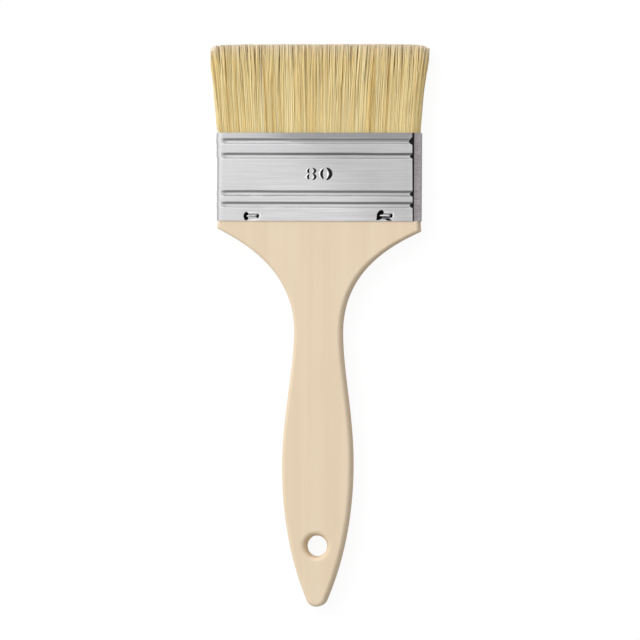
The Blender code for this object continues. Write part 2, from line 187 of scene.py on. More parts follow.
def carve(item: Object, cutters: Sequence[Object], sharp: float) -> None:
    """Cut shapes out of an object for good and remove the cutters.

    Args:
        item: The object that is cut.
        cutters: Closed shapes, each taken away in turn.
        sharp: Edges turning by more than this many degrees stay sharp.
    """
    for cutter in cutters:
        modifier = item.modifiers.new(cutter.name, "BOOLEAN")
        modifier.operation = "DIFFERENCE"
        modifier.solver = "EXACT"
        modifier.object = cutter
    settle(item)
    for cutter in cutters:
        bpy.data.objects.remove(cutter, do_unlink=True)
    shade(item.data, sharp)


def even_normals(item: Object) -> None:
    """Let the large flat faces set the shading beside rounded edges."""
    modifier = item.modifiers.new("even_normals", "WEIGHTED_NORMAL")
    modifier.mode = "FACE_AREA"
    modifier.keep_sharp = True
    settle(item)


def join(item: Object, other: Object) -> None:
    """Take another object's mesh into an object's own, and remove the other."""
    with editing(item) as bm:
        bm.from_mesh(other.data)
    bpy.data.objects.remove(other, do_unlink=True)


def cover(item: Object, material: Material) -> None:
    """Make a material the only one of an object."""
    item.data.materials.clear()
    item.data.materials.append(material)


def dress(item: Object, material: Material, slot: Slot, *nodes: str) -> None:
    """Give a piece its finish and its place in the frame.

    Args:
        item: The finished piece.
        material: What it is covered with.
        slot: The record's slot that the finish belongs to; not used.
        nodes: CAD nodes that the piece stands for.
    """
    cover(item, material)
    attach(item, "root")
    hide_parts(*nodes)
    LOG.info("%s: %d faces, stands for %s", item.name, len(item.data.polygons), ", ".join(nodes))


# ---- finishes

class Graph:
    """The shader nodes of a material or of the surround, added and linked by short calls."""

    def __init__(self, tree: bpy.types.NodeTree) -> None:
        """Work in a node tree."""
        self.tree = tree
        self.shader = tree.nodes.get("Principled BSDF")

    @classmethod
    def finish(cls, name: str) -> "Graph":
        """Start a material with its Principled shader."""
        material = bpy.data.materials.new(name)
        material.use_nodes = True
        graph = cls(material.node_tree)
        graph.material = material
        return graph

    def node(self, kind: str, values: dict, **settings: object) -> bpy.types.Node:
        """Add one node.

        Args:
            kind: The node's type name, without its start, ShaderNode.
            values: What goes into its inputs, numbers or other nodes' outputs.
            settings: Properties of the node itself.

        Returns:
            The new node.
        """
        made = self.tree.nodes.new("ShaderNode" + kind)
        for key, setting in settings.items():
            setattr(made, key, setting)
        for key, value in values.items():
            if isinstance(value, Socket):
                self.tree.links.new(value, made.inputs[key])
            else:
                made.inputs[key].default_value = value
        return made

    def parts(self, source: Socket | None = None) -> Sequence[Socket]:
        """Return X, Y and Z of a vector, or else of the piece's own coordinates."""
        source = source or self.node("TexCoord", {}).outputs["Object"]
        return self.node("SeparateXYZ", {0: source}).outputs

    def channels(self, name: str) -> Sequence[Socket]:
        """Return the three channels of a colour that the mesh keeps as an attribute."""
        color = self.node("Attribute", {}, attribute_name=name).outputs["Color"]
        return self.node("SeparateColor", {0: color}).outputs

    def gray(self, level: object) -> Socket:
        """Return a grey of a level."""
        return self.node("CombineColor", {0: level, 1: level, 2: level}).outputs[0]

    def grain(self, stretch: Sequence[float], detail: float = 3.0, roughness: float = 0.55,
              source: Socket | None = None) -> Socket:
        """Return a noise stretched along the axes.

        Args:
            stretch: Swells to the metre along X, Y and Z.
            detail: Finer octaves that are added.
            roughness: How much each finer octave counts.
            source: What it is laid out on, if not the piece's own coordinates.

        Returns:
            The noise's output, about 0.5 on average.
        """
        source = source or self.node("TexCoord", {}).outputs["Object"]
        place = self.node("Mapping", {"Vector": source, "Scale": stretch}).outputs[0]
        values = {"Vector": place, "Scale": 1.0, "Detail": detail, "Roughness": roughness}
        return self.node("TexNoise", values).outputs["Fac"]

    def span(self, value: object, low: float, high: float, to_low: float = 0.0,
             to_high: float = 1.0) -> Socket:
        """Return a value carried smoothly from one range to another, and held at its ends."""
        values = {"Value": value, "From Min": low, "From Max": high,
                  "To Min": to_low, "To Max": to_high}
        return self.node("MapRange", values, interpolation_type="SMOOTHSTEP").outputs["Result"]

    def math(self, operation: str, first: object, second: object = 0.0) -> Socket:
        """Return the result of one sum."""
        return self.node("Math", {0: first, 1: second}, operation=operation).outputs[0]

    def mix(self, share: object, first: object, second: object,
            blend: str = "MIX") -> Socket:
        """Return one colour with a share of a second one laid over it."""
        values = {0: share, 6: opaque(first), 7: opaque(second)}
        return self.node("Mix", values, data_type="RGBA", blend_type=blend).outputs[2]

    def bump(self, height: object, distance: float, strength: float = 1.0) -> None:
        """Press a height pattern, from 0 to 1, into the surface, so many metres deep."""
        values = {"Height": height, "Distance": distance, "Strength": strength}
        made = self.node("Bump", values)
        self.tree.links.new(made.outputs["Normal"], self.shader.inputs["Normal"])

    def feed(self, **sockets: object) -> Material:
        """Set or link the shader's own sockets.

        Args:
            sockets: Values by socket name, with _ for a space.

        Returns:
            The finished material.
        """
        for key, value in sockets.items():
            socket = self.shader.inputs[key.replace("_", " ")]
            if isinstance(value, Socket):
                self.tree.links.new(value, socket)
            else:
                socket.default_value = opaque(value) if isinstance(value, tuple) else value
        return self.material


def opaque(value: object) -> object:
    """Return a plain colour with its alpha, and anything else as it is."""
    if isinstance(value, tuple) and len(value) == 3:
        return (*value, 1.0)
    return value


@dataclass(frozen=True)
class WoodFinish:
    """Pale, close-grained, unvarnished wood whose fibres run along Y."""

    light: Color = (0.86, 0.71, 0.525)
    warm: Color = (0.83, 0.67, 0.475)
    fibre: Color = (0.73, 0.56, 0.375)
    side_shade: Color = (1.0, 0.965, 0.90)  # painted warm shade: what the rounded sides keep of the colour
    # painted shade: the wood under the sheet is painted near black
    shade_under_sheet: Color = (0.010, 0.008, 0.007)
    roughness: float = 0.60

    def material(self, foot: float) -> Material:
        """Make the wood, painted near black as shade where the sheet covers it.

        Args:
            foot: Y of the sheet's lower edge.

        Returns:
            The finished material.
        """
        g = Graph.finish("pale_wood")
        bands = g.grain((120.0, 3.0, 120.0), detail=2.0)
        color = g.mix(g.span(bands, 0.35, 0.65), self.light, self.warm)
        fibres = g.grain((2400.0, 22.0, 2400.0), detail=4.0, roughness=0.7)
        color = g.mix(g.span(fibres, 0.50, 0.78, 0.0, 0.35), color, self.fibre)
        flecks = g.grain((5200.0, 420.0, 5200.0), detail=1.0)
        color = g.mix(g.span(flecks, 0.66, 0.80, 0.0, 0.25), color, self.fibre)
        rubbed = g.grain((38.0, 26.0, 38.0), detail=3.0)
        color = g.mix(g.span(rubbed, 0.45, 0.75, 0.0, 0.06), color, self.fibre, "MULTIPLY")
        # painted warm shade on the rounded sides, where the surface turns away from Z
        normal = g.node("NewGeometry", {}).outputs["Normal"]
        facing = g.math("ABSOLUTE", g.parts(normal)[2])
        color = g.mix(g.span(facing, 0.15, 0.80, 1.0, 0.0), color, self.side_shade, "MULTIPLY")
        # painted shade: near black from just under the sheet's foot upwards
        hidden = g.span(g.parts()[1], foot + 0.05 * MM, foot + 0.30 * MM)
        color = g.mix(hidden, color, self.shade_under_sheet)
        g.bump(g.math("ADD", fibres, g.math("MULTIPLY", flecks, 0.6)), 0.03 * MM, 0.5)
        rough = g.span(fibres, 0.3, 0.8, self.roughness - 0.06, self.roughness + 0.10)
        return g.feed(Base_Color=color, Roughness=rough, Specular_IOR_Level=0.35)


@dataclass(frozen=True)
class TinnedFinish:
    """Bright tinned steel, brushed round the ferrule, with painted shade in its seam, grooves and
    stampings.
    """

    bright: Color = (0.556, 0.551, 0.558)
    dull: Color = (0.462, 0.457, 0.465)
    # rubbed colours the scratches, and also the painted highlights
    rubbed: Color = (0.82, 0.82, 0.83)
    # colours of the right side strip's painted shading
    strip: Color = (0.74, 0.68, 0.70)
    streak: Color = (0.50, 0.455, 0.475)
    # painted shade in the seam, the inner skin, the grooves, the crown beds and the strokes
    painted_shade: Color = (0.016, 0.015, 0.016)
    roughness: float = 0.30
    right_shade: float = 0.80  # painted fall of the light: what is left of the brightness at the right

    def material(self) -> Material:
        """Make the sheet's metal.

        The brushing follows the sheet's own length and height, kept in the attribute
        "sheet". A colour attribute holds painted shade, painted highlights and the side
        strip's painted shading.
        """
        g = Graph.finish("tinned_sheet")
        flat = g.node("Attribute", {}, attribute_name="sheet").outputs["Vector"]
        brushed = g.grain((30.0, 3600.0, 1.0), 3.0, 0.6, flat)
        color = g.mix(g.span(brushed, 0.30, 0.72), self.bright, self.dull)
        cloud = g.grain((45.0, 130.0, 1.0), 4.0, 0.6, flat)
        color = g.mix(g.span(cloud, 0.42, 0.72, 0.0, 0.40), color, self.dull)
        scratch = g.grain((90.0, 9000.0, 1.0), 1.0, 0.6, flat)
        color = g.mix(g.span(scratch, 0.70, 0.78, 0.0, 0.35), color, self.rubbed)
        # painted fall of the light from left to right, reaching less far right nearer the foot
        across = g.math("ADD", g.parts()[0], g.math("MULTIPLY", cloud, 12.0 * MM))
        drift = g.span(g.parts(flat)[1], 6.0 * MM, 31.0 * MM, 8.0 * MM, -18.0 * MM)
        across = g.math("ADD", across, drift)
        left = g.span(across, -10.0 * MM, 22.0 * MM, 1.0, self.right_shade)
        color = g.mix(1.0, color, g.gray(left), "MULTIPLY")
        parts = g.channels("wear")
        # painted shading of the right side strip, set by its height
        streaks = g.grain((250.0, 1500.0, 1.0), 3.0, 0.6, flat)
        strip = g.mix(g.span(streaks, 0.40, 0.70), self.strip, self.streak)
        strip = g.mix(1.0, strip, g.gray(parts[2]), "MULTIPLY")
        color = g.mix(g.span(parts[2], 0.0, 0.3), color, strip)
        # painted highlights on the stamp's rims and round the staples
        color = g.mix(parts[1], color, self.rubbed)
        # painted shade
        color = g.mix(parts[0], color, self.painted_shade)
        g.bump(brushed, 0.012 * MM, 0.7)
        rough = g.math("ADD", g.span(brushed, 0.3, 0.7, self.roughness - 0.04,
                                     self.roughness + 0.05), g.math("MULTIPLY", parts[0], 0.4))
        return g.feed(Base_Color=color, Roughness=rough, Metallic=1.0)


@dataclass(frozen=True)
class WireFinish:
    """Drawn steel wire with a thin zinc coat, scuffed by the hammer."""

    clean: Color = (0.66, 0.66, 0.68)
    scuffed: Color = (0.34, 0.33, 0.33)
    hole_shade: Color = (0.035, 0.033, 0.032)
    roughness: float = 0.28

    def material(self, middle: float, panel: float) -> Material:
        """Make the wire's metal, painted black as shade where it goes down through the sheet.

        Args:
            middle: Height of the brush's middle plane.
            panel: Half depth of the ferrule.

        Returns:
            The finished material.
        """
        g = Graph.finish("staple_wire")
        drawn = g.grain((300.0, 5000.0, 5000.0), detail=2.0)
        scuffs = g.grain((1500.0, 1500.0, 1500.0), detail=3.0)
        color = g.mix(g.span(scuffs, 0.50, 0.70, 0.0, 0.8), self.clean, self.scuffed)
        lift = g.math("ABSOLUTE", g.math("SUBTRACT", g.parts()[2], middle))
        # painted shade on the wire inside its holes
        color = g.mix(g.span(lift, panel - 0.70 * MM, panel - 0.40 * MM), self.hole_shade, color)
        g.bump(drawn, 0.01 * MM, 0.6)
        rough = g.span(scuffs, 0.4, 0.7, self.roughness, self.roughness + 0.2)
        return g.feed(Base_Color=color, Roughness=rough, Metallic=1.0)


@dataclass(frozen=True)
class FilamentFinish:
    """Straw-coloured filaments, each a little unlike its neighbours and paler at its tip."""

    straw: Color = (0.98, 0.80, 0.39)
    pale: Color = (0.99, 0.875, 0.53)
    ochre: Color = (0.66, 0.44, 0.105)
    tip: Color = (0.93, 0.82, 0.66)
    roughness: float = 0.42

    def material(self) -> Material:
        """Make the filaments, reading each strand's tone and its place along it."""
        g = Graph.finish("filament")
        parts = g.channels("strand")
        color = g.mix(g.span(parts[0], 0.0, 0.5), self.ochre, self.straw)
        color = g.mix(g.span(parts[0], 0.5, 1.0), color, self.pale)
        color = g.mix(g.span(parts[1], 0.80, 0.97, 0.0, 0.42), color, self.tip)
        color = g.mix(g.span(parts[1], 0.945, 0.985, 0.0, 0.75), color, self.tip)
        flow = g.grain((3000.0, 160.0, 3000.0), detail=2.0)
        color = g.mix(g.span(flow, 0.55, 0.8, 0.0, 0.30), color, self.ochre)
        rough = g.span(parts[2], 0.0, 1.0, self.roughness - 0.08, self.roughness + 0.12)
        return g.feed(Base_Color=color, Roughness=rough, Specular_IOR_Level=0.4)


@dataclass(frozen=True)
class ResinFinish:
    """Cast amber resin, glossy, with small bubbles and a cloudy body."""

    amber: Color = (0.40, 0.23, 0.08)
    dark: Color = (0.20, 0.10, 0.03)
    roughness: float = 0.18

    def material(self) -> Material:
        """Make the resin."""
        g = Graph.finish("cast_resin")
        cloud = g.grain((160.0, 160.0, 160.0), detail=4.0)
        bubbles = g.grain((1400.0, 1400.0, 1400.0), detail=0.0)
        color = g.mix(g.span(cloud, 0.35, 0.65), self.amber, self.dark)
        g.bump(g.span(bubbles, 0.66, 0.74, 1.0, 0.0), 0.08 * MM, 0.6)
        rough = g.span(cloud, 0.3, 0.7, self.roughness, self.roughness + 0.12)
        return g.feed(Base_Color=color, Roughness=rough, Coat_Weight=0.3)


@dataclass(frozen=True)
class BoardFinish:
    """Grey-brown pressed board with short fibres."""

    plain: Color = (0.46, 0.35, 0.23)
    fleck: Color = (0.25, 0.18, 0.11)
    roughness: float = 0.85

    def material(self) -> Material:
        """Make the board."""
        g = Graph.finish("spacer_board")
        fibres = g.grain((900.0, 350.0, 900.0), detail=4.0, roughness=0.7)
        color = g.mix(g.span(fibres, 0.45, 0.72), self.plain, self.fleck)
        g.bump(fibres, 0.05 * MM, 0.8)
        rough = g.span(fibres, 0.3, 0.7, self.roughness - 0.05, self.roughness + 0.1)
        return g.feed(Base_Color=color, Roughness=rough)


# ---- places

@dataclass(frozen=True)
class Places:
    """Stations of the brush, read from the CAD frame."""

    mouth: float  # Y of the ferrule's edge at the bristles
    foot: float  # Y of its edge at the wood
    nose: float  # Y of the handle's end
    tip: float  # Y of the longest bristle
    middle: float  # Z of the plane that the brush is symmetric about
    panel: float  # half depth of the ferrule
    board: float  # half depth of the handle's board
    half: float  # half width of the ferrule

    @classmethod
    def read(cls) -> "Places":
        """Take the stations from the nodes' boxes."""
        low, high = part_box("ferrule")
        wood_low, wood_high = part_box("handle")
        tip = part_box("bristles_front")[1].y
        return cls(mouth=high.y, foot=low.y, nose=wood_low.y, tip=tip,
                   middle=(low.z + high.z) / 2, panel=(high.z - low.z) / 2,
                   board=(wood_high.z - wood_low.z) / 2, half=high.x)


@dataclass(frozen=True)
class Site:
    """Where one staple sits."""

    name: str
    face: Face
    x: float
    y: float
    span: float  # between its legs

    @classmethod
    def read_all(cls, wire: float, sunk: float, strayed: Pair) -> list["Site"]:
        """Take the staples' places from the CAD nodes.

        Args:
            wire: Radius of the wire.
            sunk: How much nearer the foot the front ones went in.
            strayed: How far the hammer drove the front right one off its place.

        Returns:
            One site for each of the four staples.
        """
        sites = []
        for face in Face:
            for side in ("left", "right"):
                low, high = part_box(f"staple_{face.name.lower()}_{side}")
                center = (low + high) / 2
                if face is Face.FRONT:
                    center.y -= sunk
                if face is Face.FRONT and side == "right":
                    center += Vector((*strayed, 0.0))
                sites.append(cls(f"{face.name.lower()}_{side}", face, center.x, center.y,
                                 high.x - low.x - 2 * wire))
        return sites


# ---- handle

@dataclass(frozen=True)
class Shoulder:
    """How one side of the handle leaves the ferrule and sweeps in to the waist."""

    half: float  # its corner, from the middle
    drop: float  # its corner, below the ferrule's foot
    slope: float  # the fall at the corner, in degrees
    pulls: Pair  # reach of the curve's two ends


@dataclass
class Handle:
    """The wooden board: shoulders, waist, belly, nose, rounded edges and hanging hole."""

    places: Places
    sites: list[Site]
    left: Shoulder = Shoulder(40.02 * MM, 2.95 * MM, 30.0, (6.1 * MM, 26.5 * MM))
    right: Shoulder = Shoulder(39.85 * MM, 3.90 * MM, 25.9, (9.4 * MM, 25.7 * MM))
    waist: Pair = (9.29 * MM, 107.6 * MM)  # half width, up from the nose
    swell_pulls: Pair = (15.8 * MM, 19.8 * MM)
    belly: Pair = (13.74 * MM, 55.3 * MM)
    taper_pulls: Pair = (21.4 * MM, 15.2 * MM)
    nose_radius: float = 4.00 * MM
    nose_turn: float = math.radians(67.0)
    full: float = 0.27 * MM  # each face is this much prouder than the plain board
    edge_round: float = 1.5 * MM
    shoulder_round: float = 1.0 * MM
    tongue_in: float = 19.9 * MM
    tongue_half: float = 39.3 * MM
    gap: float = 0.3 * MM
    curve_steps: int = 44
    nose_steps: int = 12
    edge_steps: int = 9
    hole_up: float = 23.72 * MM
    hole_radius: float = 4.05 * MM
    hole_straight: float = 0.8 * MM
    rim_spread: float = 1.9 * MM
    rim_reach: float = 3.2 * MM
    rim_steps: int = 14
    hole_sides: int = 96
    groove_seats: Pair = (23.79 * MM, 28.24 * MM)
    seat_depth: float = 0.4 * MM
    seat_half: float = 1.45 * MM
    pit: Triple = (2.3 * MM, 1.9 * MM, 3.2 * MM)  # half sizes and depth

    def half_outline(self, shoulder: Shoulder) -> list[Vector]:
        """Return one half of the outline, to the right, from the tongue's end to the nose."""
        p = self.places
        slope, sweep = math.radians(shoulder.slope), shoulder.pulls
        corner = Vector((shoulder.half, p.foot - shoulder.drop))
        waist = Vector((self.waist[0], p.nose + self.waist[1]))
        belly = Vector((self.belly[0], p.nose + self.belly[1]))
        turn, radius = self.nose_turn, self.nose_radius
        start = Vector((math.sin(turn) * radius, p.nose + (1.0 - math.cos(turn)) * radius))
        fall = Vector((-math.cos(slope), -math.sin(slope)))
        rise = Vector((math.cos(turn), math.sin(turn)))
        down = Vector((0.0, -1.0))
        swell, taper = self.swell_pulls, self.taper_pulls
        stretches = (
            (corner, corner + fall * sweep[0], waist - down * sweep[1], waist),
            (waist, waist + down * swell[0], belly - down * swell[1], belly),
            (belly, belly + down * taper[0], start + rise * taper[1], start),
        )
        points = [Vector((self.tongue_half, p.mouth - self.tongue_in)),
                  Vector((self.tongue_half, p.foot + 4.0 * self.gap)),
                  Vector((shoulder.half - self.gap, p.foot + self.gap / 2))]
        for stretch in stretches:
            points += interpolate_bezier(*stretch, self.curve_steps + 1)[:-1]
        points = [point for point in points
                  if point == corner or (point - corner).length > self.edge_round]
        for step in range(self.nose_steps):
            angle = turn * (1.0 - step / self.nose_steps)
            points.append(Vector((math.sin(angle) * radius,
                                  p.nose + (1.0 - math.cos(angle)) * radius)))
        return points

    def inward(self, before: Vector, point: Vector, after: Vector) -> Vector:
        """Return the step that moves a point of the outline one unit in from both its sides."""
        first = Vector((before.y - point.y, point.x - before.x)).normalized()
        second = Vector((point.y - after.y, after.x - point.x)).normalized()
        mean = (first + second).normalized()
        return -mean / max(0.5, mean.dot(first))

    def board(self) -> Object:
        """Return the board with its edges rounded, tighter at the shoulders, before it is cut."""
        p = self.places
        outline = self.half_outline(self.right) + [Vector((0.0, p.nose))]
        outline += [Vector((-point.x, point.y)) for point in reversed(self.half_outline(self.left))]
        around = list(zip(outline[-1:] + outline, outline, outline[1:] + outline[:1]))
        inward = [self.inward(*three) for three in around]
        rounds = [mixed(self.shoulder_round, self.edge_round,
                        smooth(point.y, p.foot - 4.0 * MM, p.foot - 24.0 * MM))
                  for point in outline]
        deep = p.board + self.full
        bm = bmesh.new()
        number = bm.verts.layers.int.new("number")
        ring = [bm.verts.new((point.x, point.y, 0.0)) for point in outline]
        edges = [bm.edges.new(pair) for pair in zip(ring, ring[1:] + ring[:1])]
        for index, vert in enumerate(ring):
            vert[number] = index
        for step in range(self.edge_steps + 1):
            angle = math.pi / 2 * step / self.edge_steps
            moved, edges = extruded(bm, edges)
            for vert in moved:
                index = vert[number]
                reach = rounds[index]
                place = outline[index] + inward[index] * reach * (1.0 - math.cos(angle))
                vert.co = (place.x, place.y, deep - reach * (1.0 - math.sin(angle)))
        bmesh.ops.contextual_create(bm, geom=edges)
        bmesh.ops.mirror(bm, geom=[*bm.verts, *bm.edges, *bm.faces], merge_dist=0.001 * MM,
                         axis="Z")
        bmesh.ops.translate(bm, verts=bm.verts, vec=(0.0, 0.0, p.middle))
        bmesh.ops.recalc_face_normals(bm, faces=bm.faces)
        return link_mesh(bm, "wood_handle", 32.0)

    def bore(self) -> Object:
        """Return the turned cutter of the hanging hole, its rims rounded deep."""
        quarter = []
        for step in range(self.rim_steps + 1):
            angle = math.radians(80.0) * step / self.rim_steps
            quarter.append((self.hole_radius + self.rim_spread * (1.0 - math.cos(angle)),
                            self.hole_straight + self.rim_reach * math.sin(angle)))
        quarter.append((quarter[-1][0] + 2.0 * MM, quarter[-1][1] + 0.7 * MM))
        profile = [(0.0, -quarter[-1][1])]
        profile += [(radius, -height) for radius, height in reversed(quarter)]
        profile += quarter + [(0.0, quarter[-1][1])]
        center = Vector((0.0, self.places.nose + self.hole_up, self.places.middle))
        bm = bmesh.new()
        verts = [bm.verts.new(center + Vector((radius, 0.0, height)))
                 for radius, height in profile]
        edges = [bm.edges.new(pair) for pair in pairwise(verts)]
        bmesh.ops.spin(bm, geom=verts + edges, cent=center, axis=(0, 0, 1), angle=math.tau,
                       steps=self.hole_sides, use_merge=True)
        bmesh.ops.remove_doubles(bm, verts=bm.verts, dist=0.001 * MM)
        bmesh.ops.recalc_face_normals(bm, faces=bm.faces)
        return link_mesh(bm, "bore")

    def seats(self) -> list[Object]:
        """Return cutters that make room in the tongue for the grooves and the staples."""
        p = self.places
        cutters = []
        past = 1.0 * MM
        half_x, half_y, depth = self.pit
        for face in Face:
            rooms = [(0.0, p.mouth - groove, p.board - self.seat_depth + past,
                      (2 * p.half, 2 * self.seat_half, 2 * past)) for groove in self.groove_seats]
            rooms += [(site.x, site.y, p.board - depth / 2,
                       (2 * (half_x + site.span / 2), 2 * half_y, depth + past))
                      for site in self.sites if site.face is face]
            bm = bmesh.new()
            for x, y, lift, size in rooms:
                center = Vector((x, y, p.middle + face.value * lift))
                bmesh.ops.create_cube(bm, size=1.0,
                                      matrix=Matrix.LocRotScale(center, None, Vector(size)))
            cutters.append(link_mesh(bm, f"seats_{face.name.lower()}"))
        return cutters

    def build(self, finish: WoodFinish) -> Object:
        """Make the handle and dress it.

        Args:
            finish: The wood.

        Returns:
            The finished handle.
        """
        board = self.board()
        carve(board, [self.bore(), *self.seats()], 32.0)
        even_normals(board)
        dress(board, finish.material(self.places.foot), Slot.WOOD, "handle")
        return board


# ---- ferrule

@dataclass(frozen=True)
class Ring:
    """One stamped ring of a numeral; lengths in millimetres from the mark's middle."""

    x: float
    y: float
    outer: Pair
    inner: Pair
    shift: float = 0.0  # of the inside, to the right

    def across(self, x: float, y: float) -> Pair | None:
        """Place a point in the ring's stroke.

        Args:
            x: Across, in millimetres from the mark's middle.
            y: Along, in millimetres from the mark's middle.

        Returns:
            The share of the stroke from its outside to its inside, and the stroke's
            width there in millimetres, or None off the stroke.
        """
        dx, dy = x - self.x, y - self.y
        far = math.hypot(dx / self.outer[0], dy / self.outer[1])
        near = math.hypot((dx - self.shift) / self.inner[0], dy / self.inner[1])
        if far >= 1.0 or near <= 1.0:
            return None
        reach = math.hypot(dx, dy)
        outside = reach * (1.0 / far - 1.0)
        width = outside + reach * (1.0 - 1.0 / near)
        return outside / width, width


@dataclass
class SizeMark:
    """The plain numeral 80, the width in millimetres, stamped into the front panel."""

    center_x: float = 0.93 * MM
    inset: float = 16.19 * MM  # from the mouth
    depth: float = 0.36 * MM
    burr: float = 0.05 * MM
    reach: Pair = (5.9 * MM, 3.0 * MM)  # half sizes of the zone
    sunk: Triple = (8.0 * MM, 4.2 * MM, 0.05 * MM)  # the panel round it
    full: Pair = (0.32, 0.90)  # a stroke fades between these widths, in mm
    well: tuple[float, ...] = (0.0, 0.20, 0.44, 0.74)  # where a stroke sinks, as shares of it
    stroke_shade: tuple[float, ...] = (0.0, 0.12, 0.62, 0.78)  # where it carries painted shade
    rim: tuple[float, ...] = (0.72, 0.84, 0.97, 1.0)  # where its far edge carries a painted highlight
    darkest: float = 0.96
    rings: tuple[Ring, ...] = (
        Ring(-3.46, 1.22, (2.00, 1.30), (0.74, 1.14), -0.12),
        Ring(-3.46, -1.10, (2.08, 1.40), (0.78, 1.24), -0.10),
        Ring(2.28, 0.08, (2.70, 2.52), (0.85, 2.44), -0.29),
    )

    def stamp(self, x: float, inset: float) -> Triple:
        """Return the stamp at a point of the panel.

        Args:
            x: Place across.
            inset: Distance from the mouth.

        Returns:
            Depth in metres, painted shade and painted highlight there.
        """
        across = (x - self.center_x) / MM
        along = (self.inset - inset) / MM
        depth = dark = pale = 0.0
        for ring in self.rings:
            found = ring.across(across, along)
            if not found:
                continue
            share, width = found
            if across < ring.x:
                share = 1.0 - share
            thick = smooth(width, *self.full)
            rim = plateau(share, *self.rim)
            depth = max(depth, self.depth * plateau(share, *self.well) * thick)
            # painted shade in the strokes, painted highlight on their far edges
            dark = max(dark, self.darkest * plateau(share, *self.stroke_shade) * thick)
            pale = max(pale, rim * thick)
            depth -= self.burr * rim * thick
        return depth, dark, pale


@dataclass(frozen=True)
class Tear:
    """A hole torn in the sheet, as corners in millimetres from its staple's middle."""

    corners: tuple[Pair, ...]

    def jagged(self, rng: random.Random, steps: int, rough: float) -> list[Pair]:
        """Return the outline with short, uneven steps between the corners.

        Args:
            rng: The seeded source of chance.
            steps: Stretches that each side is broken into.
            rough: Most that a point strays, in millimetres.

        Returns:
            Corners of the finished outline.
        """
        outline = []
        around = zip(self.corners, self.corners[1:] + self.corners[:1])
        for (x0, y0), (x1, y1) in around:
            for step in range(steps):
                share = step / steps
                stray = rough if step else 0.0
                outline.append((mixed(x0, x1, share) + rng.uniform(-stray, stray),
                                mixed(y0, y1, share) + rng.uniform(-stray, stray)))
        return outline


SMALL_TEAR = Tear(((-1.36, 0.85), (-1.95, 1.62), (-2.75, 1.48), (-3.28, 0.55), (-3.26, -0.75),
                   (-2.75, -1.66), (-1.98, -1.72), (-1.40, -1.05), (-1.62, -0.50),
                   (-1.62, 0.45)))
WIDE_TEAR = Tear(((-0.70, 0.70), (-0.62, 1.62), (-1.30, 2.32), (-1.85, 2.10), (-2.35, 1.95),
                  (-2.90, 1.35), (-3.25, 0.70), (-3.40, -0.30), (-3.45, -1.80),
                  (-2.60, -1.75), (-1.45, -1.20), (-1.05, -0.60), (-1.20, 0.45)))
SLIT = Tear(((0.00, -1.50), (0.90, -1.92), (2.15, -2.10), (2.55, -1.92), (2.05, -1.42),
             (1.00, -1.20), (0.20, -1.25)))
LEG_HOLE = Tear(((2.95, 0.10), (2.62, 0.66), (2.15, 0.74), (1.72, 0.50), (1.62, 0.0),
                 (1.72, -0.50), (2.20, -0.78), (2.70, -0.62)))


@dataclass(frozen=True)
class Dent:
    """A soft hollow or swelling of the sheet, placed from a staple's middle."""

    x: float
    y: float
    wide: float
    high: float
    power: int = 2

    def at(self, across: float, along: float) -> float:
        """Return how much of it there is at a point, 0 to 1."""
        return bell(across - self.x, self.wide, self.power) * bell(along - self.y, self.high)


